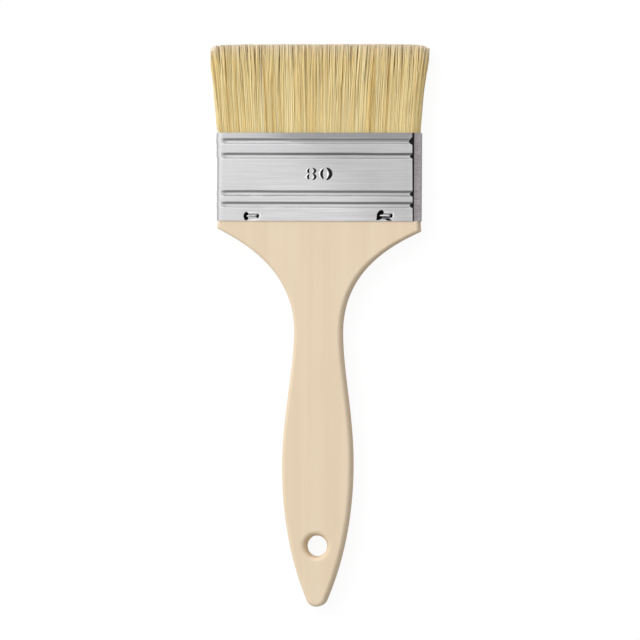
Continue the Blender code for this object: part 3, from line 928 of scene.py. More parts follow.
@dataclass
class Ferrule:
    """One folded sheet with rolled cross grooves, an open seam and pressed-in fixings."""

    places: Places
    sites: list[Site]
    mark: SizeMark
    sheet: float = 0.4 * MM
    left_bend: float = 2.0 * MM
    right_bend: float = 2.9 * MM
    bend_steps: int = 10
    cell: float = 1.2 * MM  # plain spacing of the sheet's points
    row: float = 0.16 * MM  # the same along the grooves
    lap_turn: float = math.radians(76.0)
    seam_x: float = 37.50 * MM
    seam_slant: float = 0.34 * MM  # the free edge leans in towards the mouth
    under: Pair = (4.0 * MM, 0.12 * MM)  # the lap's reach and thickness
    groove_depth: float = 0.35 * MM
    upper_wall: Pair = (0.22 * MM, 1.38 * MM)  # foot and head of a wall
    lower_wall: Pair = (0.50 * MM, 1.25 * MM)
    grooves: tuple[float, ...] = (3.38 * MM, 9.10 * MM, 23.79 * MM, 28.24 * MM)
    groove_sway: float = 0.10 * MM
    groove_end: float = 1.3 * MM
    lip_drop: Pair = (0.11 * MM, 0.30 * MM)  # the lip's fall, left and right
    lip_turn: Pair = (-28.0 * MM, -8.0 * MM)  # where one becomes the other
    # painted shade along the rolled grooves, in their corners and the first one's floor
    shade_above: tuple[float, ...] = (0.40, 0.54, 0.05, 0.22)  # painted shade in each upper corner
    shade_below: tuple[float, ...] = (0.30, 0.34, 0.54, 0.32)
    shade_floor: float = 0.20  # the same along the bottom of the first groove
    shade_start: Pair = (-24.0 * MM, -4.0 * MM)  # none above a groove left of it
    upper_line: Pair = (0.78 * MM, 0.36 * MM)  # off the groove, and its width
    lower_line: Pair = (0.74 * MM, 0.34 * MM)
    floor_line: Pair = (0.22 * MM, 0.52 * MM)
    uneven: float = 0.02 * MM  # of the whole panel
    side_swell: float = 0.12 * MM
    flare: float = 0.28 * MM  # the left side's opening out at the mouth
    notch: Pair = (1.8 * MM, 1.30 * MM)  # reach and half height
    notch_low: float = 0.12 * MM  # its middle, below the groove's
    notch_wide: float = 1.55  # how much taller the first one is on its upper side
    notch_small: float = 0.76  # size of the others
    notch_round: float = 0.6
    edge_zone: float = 3.0 * MM  # how far from the free edge the sheet follows it
    edge_fall: float = 0.05 * MM
    flare_stop: Pair = (10.5 * MM, 7.5 * MM)  # from the mouth
    fine: float = 0.12 * MM  # spacing in the worked zones
    trench: Pair = (2.25 * MM, 0.28 * MM)  # half sizes of a crown's bed
    trench_wall: float = 0.14 * MM
    trench_depth: float = 0.75 * MM
    # painted shade in a crown's bed
    trench_shade: float = 0.15
    sink: float = 0.16 * MM  # the sheet's soft fall round a staple
    soft: Dent = Dent(0.0, 0.0, 3.6 * MM, 1.5 * MM)
    below: Dent = Dent(0.0, -1.25 * MM, 2.6 * MM, 0.55 * MM)
    lip: Dent = Dent(0.0, 1.15 * MM, 2.2 * MM, 0.35 * MM)
    end: Dent = Dent(3.25 * MM, 0.0, 0.28 * MM, 0.9 * MM)
    hollow: Dent = Dent(0.4 * MM, -0.95 * MM, 1.7 * MM, 0.42 * MM, 4)  # under the right one
    hollow_depth: float = 0.22 * MM
    # painted shade in the hollow under the right staple
    hollow_shade: float = 0.88

    # The flat sheet

    def arc(self, center: Pair, radius: float, start: float, end: float) -> list[Vector]:
        """Return points along one bend, in X and Z, both ends included."""
        angles = (mixed(start, end, step / self.bend_steps)
                  for step in range(self.bend_steps + 1))
        return [Vector((center[0] + radius * math.cos(a), center[1] + radius * math.sin(a)))
                for a in angles]

    def path(self) -> list[Vector]:
        """Return the sheet's section in X and Z, from the side strip's lip to the seam."""
        p = self.places
        quarter = math.pi / 2
        right, left = p.half - self.right_bend, self.left_bend - p.half
        high, low = p.middle + p.panel, p.middle - p.panel
        points = self.arc((right, high - self.right_bend), self.right_bend, self.lap_turn, 0.0)
        points += self.arc((right, low + self.right_bend), self.right_bend, 0.0, -quarter)
        points += [Vector((x, low)) for x in reversed(spread(left, right, self.cell)[:-1])]
        points += self.arc((left, low + self.left_bend), self.left_bend, -quarter, -2 * quarter)
        points += self.arc((left, high - self.left_bend), self.left_bend, 2 * quarter, quarter)
        points += [Vector((x, high)) for x in spread(left, self.seam_x, self.cell)[:-1]]
        points.append(Vector((self.seam_x, high)))
        return points

    def rows(self) -> list[float]:
        """Return the distances from the mouth at which the sheet has points."""
        wall = self.upper_wall[1] + 0.15 * MM
        stops = [0.0]
        for index, groove in enumerate(self.grooves):
            start = groove - wall if index else 0.0
            if index:
                stops += spread(stops[-1], start, self.cell)
            stops += spread(start, groove + wall, self.row)
        return stops + spread(stops[-1], self.places.mouth - self.places.foot, self.cell)

    # What the dies press into it

    def groove(self, x: float, inset: float) -> float:
        """Return how deep the rolled grooves are at a distance from the mouth, 0 to 1."""
        deepest = 0.0
        for index, groove in enumerate(self.grooves):
            away = inset - groove - self.groove_sway * ripple(x, 0.0, 3.0 + index, 18.0 * MM)
            foot, head = self.upper_wall if away < 0.0 else self.lower_wall
            wall = 1.0 - smooth(abs(away), foot, head)
            if index == 0 and away < 0.0:
                drop = mixed(*self.lip_drop, smooth(x, *self.lip_turn))
                fall = drop / self.groove_depth
                slope = fall * max(0.0, min(1.0, inset / (groove - head)))
                wall = slope if away < -head else mixed(slope, 1.0 + 0.5 * fall, wall)
            deepest = max(deepest, wall)
        return deepest

    def groove_shade(self, x: float, inset: float) -> float:
        """Return the painted shade in the corners of the rolled grooves, 0 to 1."""
        shade_level = 0.0
        for index, groove in enumerate(self.grooves):
            away = inset - groove
            above = bell(away + self.upper_line[0], self.upper_line[1])
            below = bell(away - self.lower_line[0], self.lower_line[1])
            thick = 0.8 + 0.4 * ripple(x, 0.0, 31.0 + index, 7.0 * MM)
            above *= self.shade_above[index] * smooth(x, *self.shade_start)
            shade_level = max(shade_level, thick * above, thick * below * self.shade_below[index])
            if index == 0:
                floor = bell(away + self.floor_line[0], self.floor_line[1], 4)
                shade_level = max(shade_level, self.shade_floor * floor)
        return shade_level

    def crown_bed(self, x: float, inset: float, face: Face) -> Triple:
        """Return what a staple and its hammer did to the sheet, with painted shade in its bed and
        hollow and painted highlights on its lips.

        Args:
            x: Place across.
            inset: Distance from the mouth.
            face: Which panel the point is on.

        Returns:
            Depth in metres, painted shade and painted highlight there.
        """
        y = self.places.mouth - inset
        depth = dark = pale = 0.0
        for site in (site for site in self.sites if site.face is face):
            across, along = (x - site.x) * site.face.value, y - site.y
            if abs(across) > 7.0 * MM or abs(along) > 4.0 * MM:
                continue
            wave = 0.05 * MM * ripple(x, y, 11.0 + site.x / MM, 1.2 * MM)
            half, band = self.trench
            bed = 1.0 - smooth(abs(across), half, half + self.trench_wall + wave)
            bed *= 1.0 - smooth(abs(along), band, band + self.trench_wall + wave)
            soft, below, lip, end = (dent.at(across, along) for dent in
                                     (self.soft, self.below, self.lip, self.end))
            depth = max(depth, self.trench_depth * bed)
            depth += self.sink * (1.0 - bed) * (0.75 * soft + 0.5 * below)
            depth -= self.sink * 0.6 * (lip + end) * (1.0 - bed)
            # painted shade in the bed
            dark = max(dark, self.trench_shade * bed)
            if face is Face.FRONT and site.x > 0:
                hollow = self.hollow.at(across, along)
                depth += self.hollow_depth * hollow
                dark = max(dark, self.hollow_shade * hollow)
            # painted highlights on the raised lips round the staple
            pale = max(pale, (0.45 * lip + 0.85 * end) * (1.0 - bed))
        return max(0.0, depth), dark, pale

    def press(self, x: float, inset: float, face: Face, left: float, right: float) -> Triple:
        """Return what the dies do to a point of a panel.

        Args:
            x: Place across.
            inset: Distance from the mouth.
            face: Which panel the point is on.
            left: Where the panel meets its left bend.
            right: Where it meets its right bend or its free edge.

        Returns:
            Depth in metres, darkness and brightness of the metal there.
        """
        ends = smooth(x, left, left + self.groove_end)
        if face is Face.BACK:
            ends *= smooth(x, right, right - self.groove_end)
        depth = self.groove_depth * self.groove(x, inset) * ends
        depth += self.uneven * (1.0 + ripple(x, inset, 5.0 * face.value, 9.0 * MM)) * ends
        dent, dark, pale = self.crown_bed(x, inset, face)
        depth += dent
        # painted shade in the grooves' corners
        dark = max(dark, self.groove_shade(x, inset) * ends)
        if face is Face.FRONT:
            # painted shade and painted highlight of the stamped numeral
            stamp, stroke_shade, rim = self.mark.stamp(x, inset)
            dark, pale = max(dark, stroke_shade), max(pale, rim)
            sunk = math.hypot((x - self.mark.center_x) / self.mark.sunk[0],
                              (inset - self.mark.inset) / self.mark.sunk[1])
            depth += stamp + self.mark.sunk[2] * math.exp(-sunk ** 2)
        return max(0.0, depth), dark, pale

    def pull_back(self, inset: float) -> float:
        """Return how far the free edge is drawn back where a groove runs through it."""
        back = self.seam_slant * (1.0 - inset / (self.places.mouth - self.places.foot))
        for index, groove in enumerate(self.grooves):
            size = self.notch_small if index else 1.0
            away = inset - groove - self.notch_low
            half = self.notch[1] * (self.notch_wide if index == 0 and away < 0.0 else size)
            share = 1.0 - abs(away) / half
            back = max(back, self.notch[0] * size * max(0.0, share) ** self.notch_round)
        return back

    def under_skin(self, x: float, lift: float) -> float:
        """Return how deep a point lies under the folded sheet's plain outer face."""
        p = self.places
        bend = self.left_bend if x < 0 else self.right_bend
        dx, dz = abs(x) - (p.half - bend), abs(lift) - (p.panel - bend)
        if dx > 0.0 and dz > 0.0:
            return bend - math.hypot(dx, dz)
        return min(p.half - abs(x), p.panel - abs(lift))

    def strip_shading(self, lift: float) -> float:
        """Return the side strip's painted shading at a height over the brush's middle plane."""
        tone = mixed(0.55, 1.0, smooth(lift, 4.60 * MM, 4.15 * MM))
        tone *= mixed(1.0, 0.66, smooth(lift, 3.9 * MM, 3.0 * MM))
        return tone * smooth(lift, -2.0 * MM, 0.0)

    # Making it

    def drawn_out(self, path: Sequence[Vector]) -> BMesh:
        """Draw a section out along the ferrule, row by row.

        Args:
            path: The section's points, in X and Z.

        Returns:
            The open sheet, which keeps its flat layout in the attribute "sheet".
        """
        p = self.places
        bm = bmesh.new()
        layout = bm.verts.layers.float_vector.new("sheet")
        verts = [bm.verts.new((point.x, p.mouth, point.y)) for point in path]
        length = 0.0
        for before, vert in zip([verts[0]] + verts, verts):
            length += (vert.co - before.co).length
            vert[layout] = (length, 0.0, 0.0)
        chain = [bm.edges.new(pair) for pair in pairwise(verts)]
        for above, below in pairwise(self.rows()):
            moved, chain = extruded(bm, chain)
            bmesh.ops.translate(bm, verts=list(moved), vec=(0.0, above - below, 0.0))
            for vert in moved:
                vert[layout] = (vert[layout].x, below, 0.0)
        bmesh.ops.recalc_face_normals(bm, faces=bm.faces)
        return bm

    def refine(self, bm: BMesh) -> None:
        """Give the mark and the staples' surroundings finer points."""
        p = self.places
        zones = [(self.mark.center_x, p.mouth - self.mark.inset, *self.mark.reach, Face.FRONT)]
        for site in self.sites:
            zones.append((site.x, site.y, 4.6 * MM, 2.6 * MM, site.face))
        cuts = round(self.cell / self.fine) - 1
        for x, y, half_x, half_y, face in zones:
            level = p.middle + face.value * p.panel
            inside = {vert for vert in bm.verts
                      if abs(vert.co.x - x) < half_x + self.cell / 2
                      and abs(vert.co.y - y) < half_y + self.cell / 2
                      and abs(vert.co.z - level) < 0.01 * MM}
            edges = [edge for edge in bm.edges
                     if edge.verts[0] in inside and edge.verts[1] in inside]
            share = 1 if face is Face.FRONT else 2
            bmesh.ops.subdivide_edges(bm, edges=edges, cuts=cuts // share, use_grid_fill=True)

    def walled(self, bm: BMesh, name: str, wall: float) -> Object:
        """Turn an open sheet so that it faces out, and give it its thickness inwards."""
        lowest = min(bm.faces, key=lambda face: face.calc_center_median().z)
        if lowest.normal.z > 0:
            bmesh.ops.reverse_faces(bm, faces=bm.faces)
        item = link_mesh(bm, name)
        modifier = item.modifiers.new("wall", "SOLIDIFY")
        modifier.thickness = wall
        modifier.offset = -1.0
        modifier.use_even_offset = True
        settle(item)
        return item

    def shape(self, bm: BMesh) -> None:
        """Press both skins of the sheet: grooves, beds, mark, notches and side swells."""
        p = self.places
        wear = bm.verts.layers.float_color.new("wear")
        left = self.left_bend - p.half
        right = p.half - self.right_bend
        strip = self.seam_x + 0.2 * MM
        for vert in bm.verts:
            x, y, z = vert.co
            inset = p.mouth - y
            lift = z - p.middle
            end = self.seam_x if lift > 0 else right
            dark = pale = 0.0
            if left <= x <= end + 0.01 * MM and abs(lift) > p.panel - 1.5 * self.sheet:
                face = Face.FRONT if lift > 0 else Face.BACK
                depth, dark, pale = self.press(x, inset, face, left, end)
                near = (x - self.seam_x + self.edge_zone) / self.edge_zone
                if face is Face.FRONT and near > 0.0:
                    vert.co.x -= self.pull_back(inset) * near
                    depth += self.edge_fall * math.sin(math.pi * near) ** 2
                vert.co.z -= face.value * depth
            elif x < self.left_bend / 2 - p.half:
                vert.co.x -= self.side_swell * self.groove(0.0, inset)
                vert.co.x -= self.flare * smooth(inset, *self.flare_stop)
            # painted shade: the sheet's inner skin is painted near black
            if self.under_skin(x, lift) > self.sheet / 2:
                dark = 1.0
            # painted shade, painted highlight and the side strip's painted shading
            vert[wear] = (dark, pale, self.strip_shading(lift) if x > strip else 0.0, 1.0)

    def under_lap(self) -> Object:
        """Make the strip of sheet that carries on from the side under the front panel."""
        p = self.places
        reach, wall = self.under
        start = p.half - self.right_bend + self.right_bend * math.cos(self.lap_turn)
        top = p.middle + p.panel - self.sheet - 0.04 * MM
        count = round(reach / self.cell) * 2
        path = [Vector((start + 0.05 * MM, top - 0.12 * MM))]
        path += [Vector((start - 0.15 * MM - reach * step / count, top))
                 for step in range(count + 1)]
        item = self.walled(self.drawn_out(path), "under_lap", wall)
        with editing(item) as bm:
            wear = bm.verts.layers.float_color.new("wear")
            for vert in bm.verts:
                inset = p.mouth - vert.co.y
                vert.co.z -= self.groove_depth * self.groove(vert.co.x, inset)
                # painted shade: the under-lap is painted near black
                vert[wear] = (0.97, 0.0, 0.0, 1.0)
        return item

    def holes(self) -> list[Object]:
        """Return cutters of the staples' holes, small at one leg and torn at the other."""
        p = self.places
        rng = random.Random(41)
        cutters = []
        for site in self.sites:
            wide = site.face is Face.FRONT and site.x > 0
            for tear in ((WIDE_TEAR, SLIT, LEG_HOLE) if wide else (SMALL_TEAR, LEG_HOLE)):
                bm = bmesh.new()
                sign = site.face.value
                low = p.middle + sign * (p.panel - 2.2 * MM)
                verts = [bm.verts.new((site.x + sign * x * MM, site.y + y * MM, low))
                         for x, y in tear.jagged(rng, 3, 0.05)]
                raised = bmesh.ops.extrude_face_region(bm, geom=[bm.faces.new(verts)])["geom"]
                top = [item for item in raised if isinstance(item, BMVert)]
                bmesh.ops.translate(bm, verts=top, vec=(0.0, 0.0, sign * 4.0 * MM))
                bmesh.ops.recalc_face_normals(bm, faces=bm.faces)
                cutters.append(link_mesh(bm, f"tear_{len(cutters)}"))
        return cutters

    def build(self, finish: TinnedFinish) -> Object:
        """Make the ferrule and dress it.

        Args:
            finish: The metal.

        Returns:
            The finished ferrule.
        """
        bm = self.drawn_out(self.path())
        self.refine(bm)
        sheet = self.walled(bm, "tinned_ferrule", self.sheet)
        with editing(sheet) as bm:
            self.shape(bm)
        carve(sheet, self.holes(), 42.0)
        join(sheet, self.under_lap())
        dress(sheet, finish.material(), Slot.SHEET, "ferrule")
        return sheet


# ---- staples

@dataclass
class Staple:
    """A wire clip whose crown lies in the dented sheet and whose legs go into the wood."""

    places: Places
    site: Site
    radius: float = 0.4 * MM
    bends: Pair = (0.60 * MM, 1.15 * MM)  # at its left and right leg
    bend_steps: int = 8
    crown_below: float = 0.42 * MM  # crown's middle under the panel
    leg_end: float = 1.0 * MM  # from the brush's middle plane
    crown_steps: int = 10

    def build(self, material: Material) -> Object:
        """Make one staple and dress it.

        Args:
            material: The wire's metal.

        Returns:
            The finished staple.
        """
        p, site = self.places, self.site
        top = p.panel - self.crown_below
        half = site.span / 2

        def leg(bend: float) -> list[Vector]:
            """Return one leg and its bend, drawn on the left, from its end to the crown."""
            points = [Vector((-half, self.leg_end))]
            for step in range(self.bend_steps + 1):
                angle = math.pi * (1.0 - step / self.bend_steps / 2)
                points.append(Vector((bend - half + bend * math.cos(angle),
                                      top - bend + bend * math.sin(angle))))
            return points

        left, right = self.bends if site.face is Face.FRONT else reversed(self.bends)
        crown = [Vector((mixed(left - half, half - right, step / self.crown_steps), top))
                 for step in range(1, self.crown_steps)]
        path = leg(left) + crown + [Vector((-point.x, point.y)) for point in reversed(leg(right))]
        curve = bpy.data.curves.new("wire", "CURVE")
        curve.dimensions = "3D"
        curve.bevel_depth = self.radius
        curve.bevel_resolution = 5
        curve.use_fill_caps = True
        spline = curve.splines.new("POLY")
        spline.points.add(len(path) - 1)
        for point, place in zip(spline.points, path):
            sway = 0.05 * MM * math.sin(place.x / half * 2.0 + site.x / MM)
            point.co = (site.x + place.x, site.y + sway,
                        p.middle + site.face.value * place.y, 1.0)
        drawn = add("wire", curve)
        bm = bmesh.new()
        bm.from_mesh(baked(drawn))
        bpy.data.objects.remove(drawn, do_unlink=True)
        bmesh.ops.remove_doubles(bm, verts=bm.verts, dist=0.001 * MM)
        bmesh.ops.recalc_face_normals(bm, faces=bm.faces)
        piece = link_mesh(bm, f"wire_{site.name}", 50.0)
        dress(piece, material, Slot.WIRE, f"staple_{site.name}")
        return piece


# ---- bristles

@dataclass(frozen=True)
class Lock:
    """Filaments that lean together towards their tips."""

    x: float
    z: float
    pull: float  # how far its filaments close up
    start: float  # where along them that begins, 0 at the mouth
    lean: Vector
    longer: float
    tone: float


@dataclass
class Scatter:
    """Locks of one size, scattered over a bank's section."""

    pitch: Pair
    pull: Pair
    start: Pair
    lean: Pair
    uneven: float
    tone: float
    made: dict[tuple[int, int], Lock] = field(default_factory=dict)

    def fill(self, rng: random.Random, half: float, deep: float) -> None:
        """Make the locks.

        Args:
            rng: The seeded source of chance.
            half: Half width of the section.
            deep: Its depth.
        """
        columns = math.ceil(half / self.pitch[0]) + 1
        for column in range(-columns, columns + 1):
            for row in range(-1, math.ceil(deep / self.pitch[1]) + 1):
                lean = Vector((rng.gauss(0.0, self.lean[0]), 0.0, rng.gauss(0.0, self.lean[1])))
                self.made[column, row] = Lock(
                    x=(column + rng.uniform(-0.40, 0.40)) * self.pitch[0],
                    z=(row + 0.5 + rng.uniform(-0.35, 0.35)) * self.pitch[1],
                    pull=rng.uniform(*self.pull), start=rng.uniform(*self.start), lean=lean,
                    longer=rng.gauss(0.0, self.uneven), tone=rng.gauss(0.0, self.tone))

    def nearest(self, x: float, z: float) -> Lock:
        """Return the lock whose middle lies nearest to a point of the section."""
        column, row = round(x / self.pitch[0]), math.floor(z / self.pitch[1])
        around = [self.made[c, r] for c in range(column - 1, column + 2)
                  for r in range(row - 1, row + 2) if (c, r) in self.made]
        return min(around, key=lambda lock: (lock.x - x) ** 2 + (lock.z - z) ** 2)


@dataclass(frozen=True)
class Strand:
    """One filament: where it starts, how it fans out and how its locks draw it."""

    root: Vector  # X across and Z from the middle plane
    mouth: Vector
    swell: Vector  # the push outwards just past the mouth
    fan: Vector
    draws: tuple[tuple[Vector, float], ...]  # each pull, and where it begins
    length: float  # past the mouth
    bow: Vector
    twist: float
    radius: float
    tone: float
    gloss: float

    def at(self, out: float) -> Vector:
        """Return the filament's place across and in depth, from 0, the mouth, to 1."""
        place = self.mouth + self.fan * out + self.swell * smooth(out, 0.0, 0.045)
        for pull, start in self.draws:
            place += pull * (max(0.0, out - start) / (1.0 - start)) ** 1.15
        return place + self.bow * math.sin(math.pi * out)


@dataclass
class BristleBank:
    """One bank of filaments, from the resin's face to the tips."""

    places: Places
    face: Face
    seed: int
    columns: int = 330
    rows: int = 17
    groups: int = 4  # pieces across the bank
    root_in: float = 11.0 * MM  # the resin's face, from the mouth
    root_half: float = 38.4 * MM
    root_deep: Pair = (1.00 * MM, 2.80 * MM)
    mouth_half: float = 39.62 * MM
    mouth_deep: Pair = (0.20 * MM, 4.05 * MM)
    tip_half: Pair = (42.70 * MM, 42.36 * MM)
    tip_deep: Pair = (0.05 * MM, 4.20 * MM)
    swell: float = 0.32 * MM  # outwards in depth, just past the mouth
    side_swell: Pair = (0.66 * MM, -0.12 * MM)  # to the left and right
    side_bow: Pair = (-0.04 * MM, -0.36 * MM)
    corner: Pair = (1.9 * MM, 3.0 * MM)  # rounding of the bank's ends
    radius: float = 0.120 * MM
    taper: float = 0.86
    stations: tuple[float, ...] = (0.0, 0.035, 0.10, 0.28, 0.46, 0.63, 0.78, 0.90, 1.0)
    dome: float = 0.58 * MM  # how much shorter the filaments are at the sides
    shoulder: float = 3.0 * MM  # the same, at the very corners
    uneven: float = 0.15 * MM
    tone: Pair = (0.64, 0.19)  # its mean and its spread
    inner: float = 0.68  # painted shade: how much darker the filaments deep inside are
    stray: Pair = (0.20, 0.08)  # of the tips, across and in depth, in mm
    bow: Pair = (0.09, 0.05)  # the same of their bend, in mm
    wild: Pair = (0.975, 1.3)  # from which draw one sticks out, and how far, in mm
    broken: Triple = (0.07, 0.4, 5.0)  # share, and what is off, in mm
    side_limit: float = 43.00 * MM
    deep_limit: float = 4.50 * MM

    def side(self, x: float) -> int:
        """Return 0 where a place across lies left of the brush's middle, and 1 right of it."""
        return int(x * self.face.value > 0)

    def section(self, x: float, deep: float, half: float, span: Pair) -> Vector:
        """Place a filament in the bank's round-ended section.

        Args:
            x: Place across, from -1 to 1.
            deep: Place in depth, from 0 at the middle plane to 1 at the outside.
            half: Half width of the section.
            span: Its inner and outer depth.

        Returns:
            X across and Z from the middle plane.
        """
        corner = self.corner[self.side(x)]
        past = max(0.0, abs(x) * half - half + corner) / corner
        room = span[1] - corner * (1.0 - math.sqrt(max(0.0, 1.0 - past ** 2)))
        return Vector((x * half, 0.0, mixed(span[0], room, deep)))

    def chance(self, rng: random.Random, most: Pair) -> Vector:
        """Return a random step across and in depth, whose spreads are given in millimetres."""
        return Vector((rng.gauss(0.0, most[0]), 0.0, rng.gauss(0.0, most[1]))) * MM

    def strands(self) -> Iterator[Strand]:
        """Yield every filament of the bank, column by column."""
        p = self.places
        rng = random.Random(self.seed)
        locks = Scatter(pitch=(2.6 * MM, 3.6 * MM), pull=(0.05, 0.34), start=(0.35, 0.70),
                        lean=(0.50 * MM, 0.15 * MM), uneven=0.05 * MM, tone=0.03)
        tufts = Scatter(pitch=(0.90 * MM, 0.80 * MM), pull=(0.38, 0.95), start=(0.02, 0.46),
                        lean=(0.46 * MM, 0.18 * MM), uneven=0.07 * MM, tone=0.09)
        for scatter in (locks, tufts):
            scatter.fill(rng, self.mouth_half, self.mouth_deep[1])
        out = p.tip - p.mouth
        for column in range(self.columns):
            for row in range(self.rows):
                across = (column + (row % 2) / 2 + rng.uniform(0.02, 0.48)) / self.columns
                deep = (row + rng.uniform(0.1, 0.9)) / self.rows
                x = mixed(-1.0, 1.0, across)
                root = self.section(x, deep, self.root_half, self.root_deep)
                mouth = self.section(x, deep, self.mouth_half, self.mouth_deep)
                tip = self.section(x, deep, self.tip_half[self.side(x)], self.tip_deep)
                draws = []
                # painted shade on the filaments deep inside the bank
                inside = smooth(deep, 0.84, 0.55) * smooth(abs(x), 0.99, 0.93)
                tone = self.tone[0] + rng.gauss(0.0, self.tone[1]) - self.inner * inside
                short = self.uneven * rng.random() ** 2 + self.dome * abs(x) ** 7
                short += self.shoulder * abs(x) ** 45
                for scatter in (locks, tufts):
                    lock = scatter.nearest(mouth.x, mouth.z)
                    home = Vector((lock.x + (tip.x - mouth.x), 0.0, lock.z))
                    draws.append(((home - tip) * lock.pull + lock.lean, lock.start))
                    short -= min(0.0, lock.longer)
                    tone += lock.tone
                wild = rng.random()
                stray = self.chance(rng, self.stray)
                if wild > self.wild[0]:
                    stray.x += rng.uniform(-self.wild[1], self.wild[1]) * MM
                draws.append((stray, 0.0))
                if wild < self.broken[0]:
                    short += rng.uniform(*self.broken[1:]) * MM
                edge = x * abs(x) ** 7
                side = self.side_swell[self.side(x)] * edge
                bow = self.chance(rng, self.bow)
                bow.x += self.side_bow[self.side(x)] * edge
                yield Strand(root, mouth, Vector((side, 0.0, self.swell * deep ** 4)),
                             tip - mouth - Vector((side, 0.0, 0.0)), tuple(draws), out - short,
                             bow, rng.uniform(0.0, math.tau),
                             self.radius * rng.uniform(0.8, 1.25),
                             max(0.0, min(1.0, tone)), rng.random())

    def bend(self, strand: Strand, ring: int) -> tuple[Vector, float, float]:
        """Place one ring of a filament.

        Args:
            strand: The filament.
            ring: Number of the ring, 0 at the resin.

        Returns:
            The ring's middle, its radius and its place past the mouth, 0 to 1.
        """
        if ring == 0:
            return (Vector((strand.root.x, self.places.mouth - self.root_in, strand.root.z)),
                    strand.radius, 0.0)
        out = self.stations[ring - 1]
        at = strand.at(out)
        size = strand.radius * mixed(1.0, self.taper, smooth(out, 0.25, 1.0))
        if ring == len(self.stations):
            size *= 0.85
        at.x = max(size - self.side_limit, min(self.side_limit - size, at.x))
        at.z = max(size, min(self.deep_limit - size, at.z))
        at.y = self.places.mouth + strand.length * out
        return at, size, out

    def group(self, index: int, strands: Sequence[Strand]) -> Object:
        """Make one piece of the bank.

        Args:
            index: Number of the piece, for its name.
            strands: The filaments that it holds.

        Returns:
            The piece, undressed.
        """
        bm = bmesh.new()
        for number in range(len(strands)):
            bmesh.ops.create_cone(bm, cap_ends=True, cap_tris=False, segments=3, radius1=0.25,
                                  radius2=0.25, depth=1.0,
                                  matrix=Matrix.Translation((number, 0.0, 0.5)))
        sides = [edge for edge in bm.edges
                 if abs(edge.verts[0].co.z - edge.verts[1].co.z) > 0.5]
        rings = len(self.stations)
        bmesh.ops.subdivide_edges(bm, edges=sides, cuts=rings - 1, use_grid_fill=True)
        layer = bm.verts.layers.float_color.new("strand")
        sign = self.face.value
        middle = self.places.middle
        for vert in bm.verts:
            number = round(vert.co.x)
            strand = strands[number]
            turn = math.atan2(vert.co.y, vert.co.x - number) + strand.twist
            at, size, out = self.bend(strand, round(vert.co.z * rings))
            vert.co = (sign * (at.x + math.cos(turn) * size), at.y,
                       middle + sign * (at.z - math.sin(turn) * size))
            vert[layer] = (strand.tone, out, strand.gloss, 1.0)
        return link_mesh(bm, f"filaments_{self.face.name.lower()}_{index}", 60.0)

    def build(self, material: Material) -> list[Object]:
        """Make the whole bank and dress it.

        Args:
            material: The filaments' finish.

        Returns:
            The bank's pieces, from left to right as its own face is seen.
        """
        strands = list(self.strands())
        share = math.ceil(len(strands) / self.groups)
        pieces = []
        for index in range(self.groups):
            part = strands[index * share:(index + 1) * share]
            piece = self.group(index + 1, part)
            dress(piece, material, Slot.FILAMENT, f"bristles_{self.face.name.lower()}")
            pieces.append(piece)
        return pieces


# ---- studio

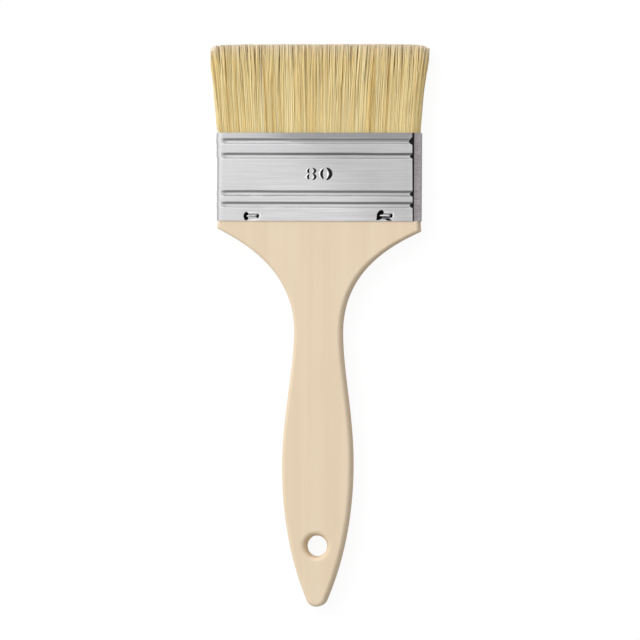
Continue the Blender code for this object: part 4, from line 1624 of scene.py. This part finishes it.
@dataclass
class Studio:
    """Pale floor, soft light from the upper left and the camera above the brush."""

    floor_half: float = 30.0
    floor_pale: float = 0.72  # as the light in the room meets it
    seen_pale: float = 0.10  # what the camera adds to the floor's glow
    seen_glow: float = 0.92
    mirrored_pale: float = 0.40  # what metal sees of the floor, with its shadow
    mirrored_glow: float = 0.40
    sky_left: float = 1.50
    sky_right: float = 0.50
    sky_nose: float = 0.26  # share of the light left towards the nose
    sky_tips: float = 0.76
    key_power: float = 3.4
    key_size: float = 0.8
    key_place: Triple = (-0.60, 0.62, 0.90)
    turn: float = math.radians(9.0)  # the camera stands this far round to the right
    roll: float = math.radians(0.34)
    lens: float = 320.0
    sensor: float = 36.0
    view_width: float = 250.5 * MM  # what the frame takes in at the brush
    aim: Pair = (0.50 * MM, 2.10 * MM)

    def floor(self) -> None:
        """Lay the floor, which shows white and keeps a faint shadow."""
        bm = bmesh.new()
        bmesh.ops.create_grid(bm, x_segments=8, y_segments=8, size=self.floor_half)
        item = link_mesh(bm, "floor")
        g = Graph.finish("floor")
        path = g.node("LightPath", {}).outputs
        straight = g.math("MAXIMUM", path["Is Camera Ray"], path["Is Transmission Ray"])
        mirrored = path["Is Glossy Ray"]
        pale = g.math("ADD", self.floor_pale,
                      g.math("MULTIPLY", straight, self.seen_pale - self.floor_pale))
        pale = g.math("ADD", pale,
                      g.math("MULTIPLY", mirrored, self.mirrored_pale - self.floor_pale))
        glow = g.math("ADD", g.math("MULTIPLY", straight, self.seen_glow),
                      g.math("MULTIPLY", mirrored, self.mirrored_glow))
        g.feed(Base_Color=g.gray(pale), Roughness=0.9, Specular_IOR_Level=0.0,
               Emission_Color=(1.0, 1.0, 1.0), Emission_Strength=glow)
        item.data.materials.append(g.material)

    def surround(self) -> None:
        """Light the brush from all round: bright above and left, dim at the nose's end."""
        world = bpy.data.worlds.new("studio")
        bpy.context.scene.world = world
        world.use_nodes = True
        world.node_tree.nodes.clear()
        g = Graph(world.node_tree)
        x, y, z = g.parts(g.node("TexCoord", {}).outputs["Generated"])
        level = g.span(x, -0.25, 0.75, self.sky_left, self.sky_right)
        level = g.math("MULTIPLY", level, g.span(y, -0.42, 0.0, self.sky_nose, 1.0))
        level = g.math("MULTIPLY", level, g.span(y, 0.22, 0.95, 1.0, self.sky_tips))
        level = g.math("MULTIPLY", level, g.span(z, -0.05, 0.40, 0.72, 1.0))
        seen = g.node("LightPath", {}).outputs["Is Camera Ray"]
        level = g.math("ADD", g.math("MULTIPLY", level, g.math("SUBTRACT", 1.0, seen)), seen)
        light = g.node("Background", {"Color": (1.0, 1.0, 1.0, 1.0), "Strength": level})
        output = g.node("OutputWorld", {})
        g.tree.links.new(light.outputs[0], output.inputs["Surface"])

    def lamp(self) -> None:
        """Hang the large soft lamp at the upper left."""
        data = bpy.data.lights.new("key", "AREA")
        data.shape = "DISK"
        data.size = self.key_size
        data.energy = self.key_power
        item = add("key", data)
        item.location = self.key_place
        item.rotation_mode = "QUATERNION"
        item.rotation_quaternion = (-Vector(self.key_place)).to_track_quat("-Z", "Y")
        item.visible_camera = False

    def camera(self, middle: float) -> None:
        """Stand the camera square above the brush, a little to its right.

        Args:
            middle: Height of the plane that the view's width is measured on.
        """
        data = bpy.data.cameras.new("camera")
        data.lens = self.lens
        data.sensor_width = self.sensor
        data.clip_start, data.clip_end = 0.05, 20.0
        item = add("camera", data)
        bpy.context.scene.camera = item
        back = Vector((math.sin(self.turn), 0.0, math.cos(self.turn)))
        up = Matrix.Rotation(self.roll, 3, back) @ Vector((0.0, 1.0, 0.0))
        right = up.cross(back).normalized()
        place = Vector((*self.aim, middle)) + back * (self.view_width * self.lens / self.sensor)
        turn = Matrix((right, back.cross(right), back)).transposed()
        item.matrix_world = Matrix.Translation(place) @ turn.to_4x4()

    def build(self, middle: float) -> None:
        """Set up floor, light and camera.

        Args:
            middle: Height of the brush's middle plane.
        """
        bpy.context.scene.view_settings.view_transform = "Standard"
        self.floor()
        self.surround()
        self.lamp()
        self.camera(middle)
        LOG.info("studio: floor, surround, lamp and camera")


# ---- assembly

def dress_hidden() -> None:
    """Give the carried-over CAD nodes inside the ferrule their finishes."""
    finishes = {"resin_setting": ResinFinish().material(),
                "spacer_strip": BoardFinish().material()}
    for name, material in finishes.items():
        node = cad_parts[name]
        cover(node, material)
        LOG.info("%s: kept from the frame, dressed with %s", name, material.name)


def main() -> None:
    """Build every piece of the brush and the studio round it."""
    logging.basicConfig(level=logging.INFO, format="%(name)s: %(message)s")
    places = Places.read()
    sites = Site.read_all(wire=0.4 * MM, sunk=0.24 * MM, strayed=(-0.45 * MM, 0.28 * MM))
    Handle(places, sites).build(WoodFinish())
    Ferrule(places, sites, SizeMark()).build(TinnedFinish())
    wire = WireFinish().material(places.middle, places.panel)
    for site in sites:
        Staple(places, site).build(wire)
    filament = FilamentFinish().material()
    for face, seed in ((Face.FRONT, 17), (Face.BACK, 29)):
        BristleBank(places, face, seed).build(filament)
    dress_hidden()
    Studio().build(places.middle)


if __name__ == "__main__":
    main()
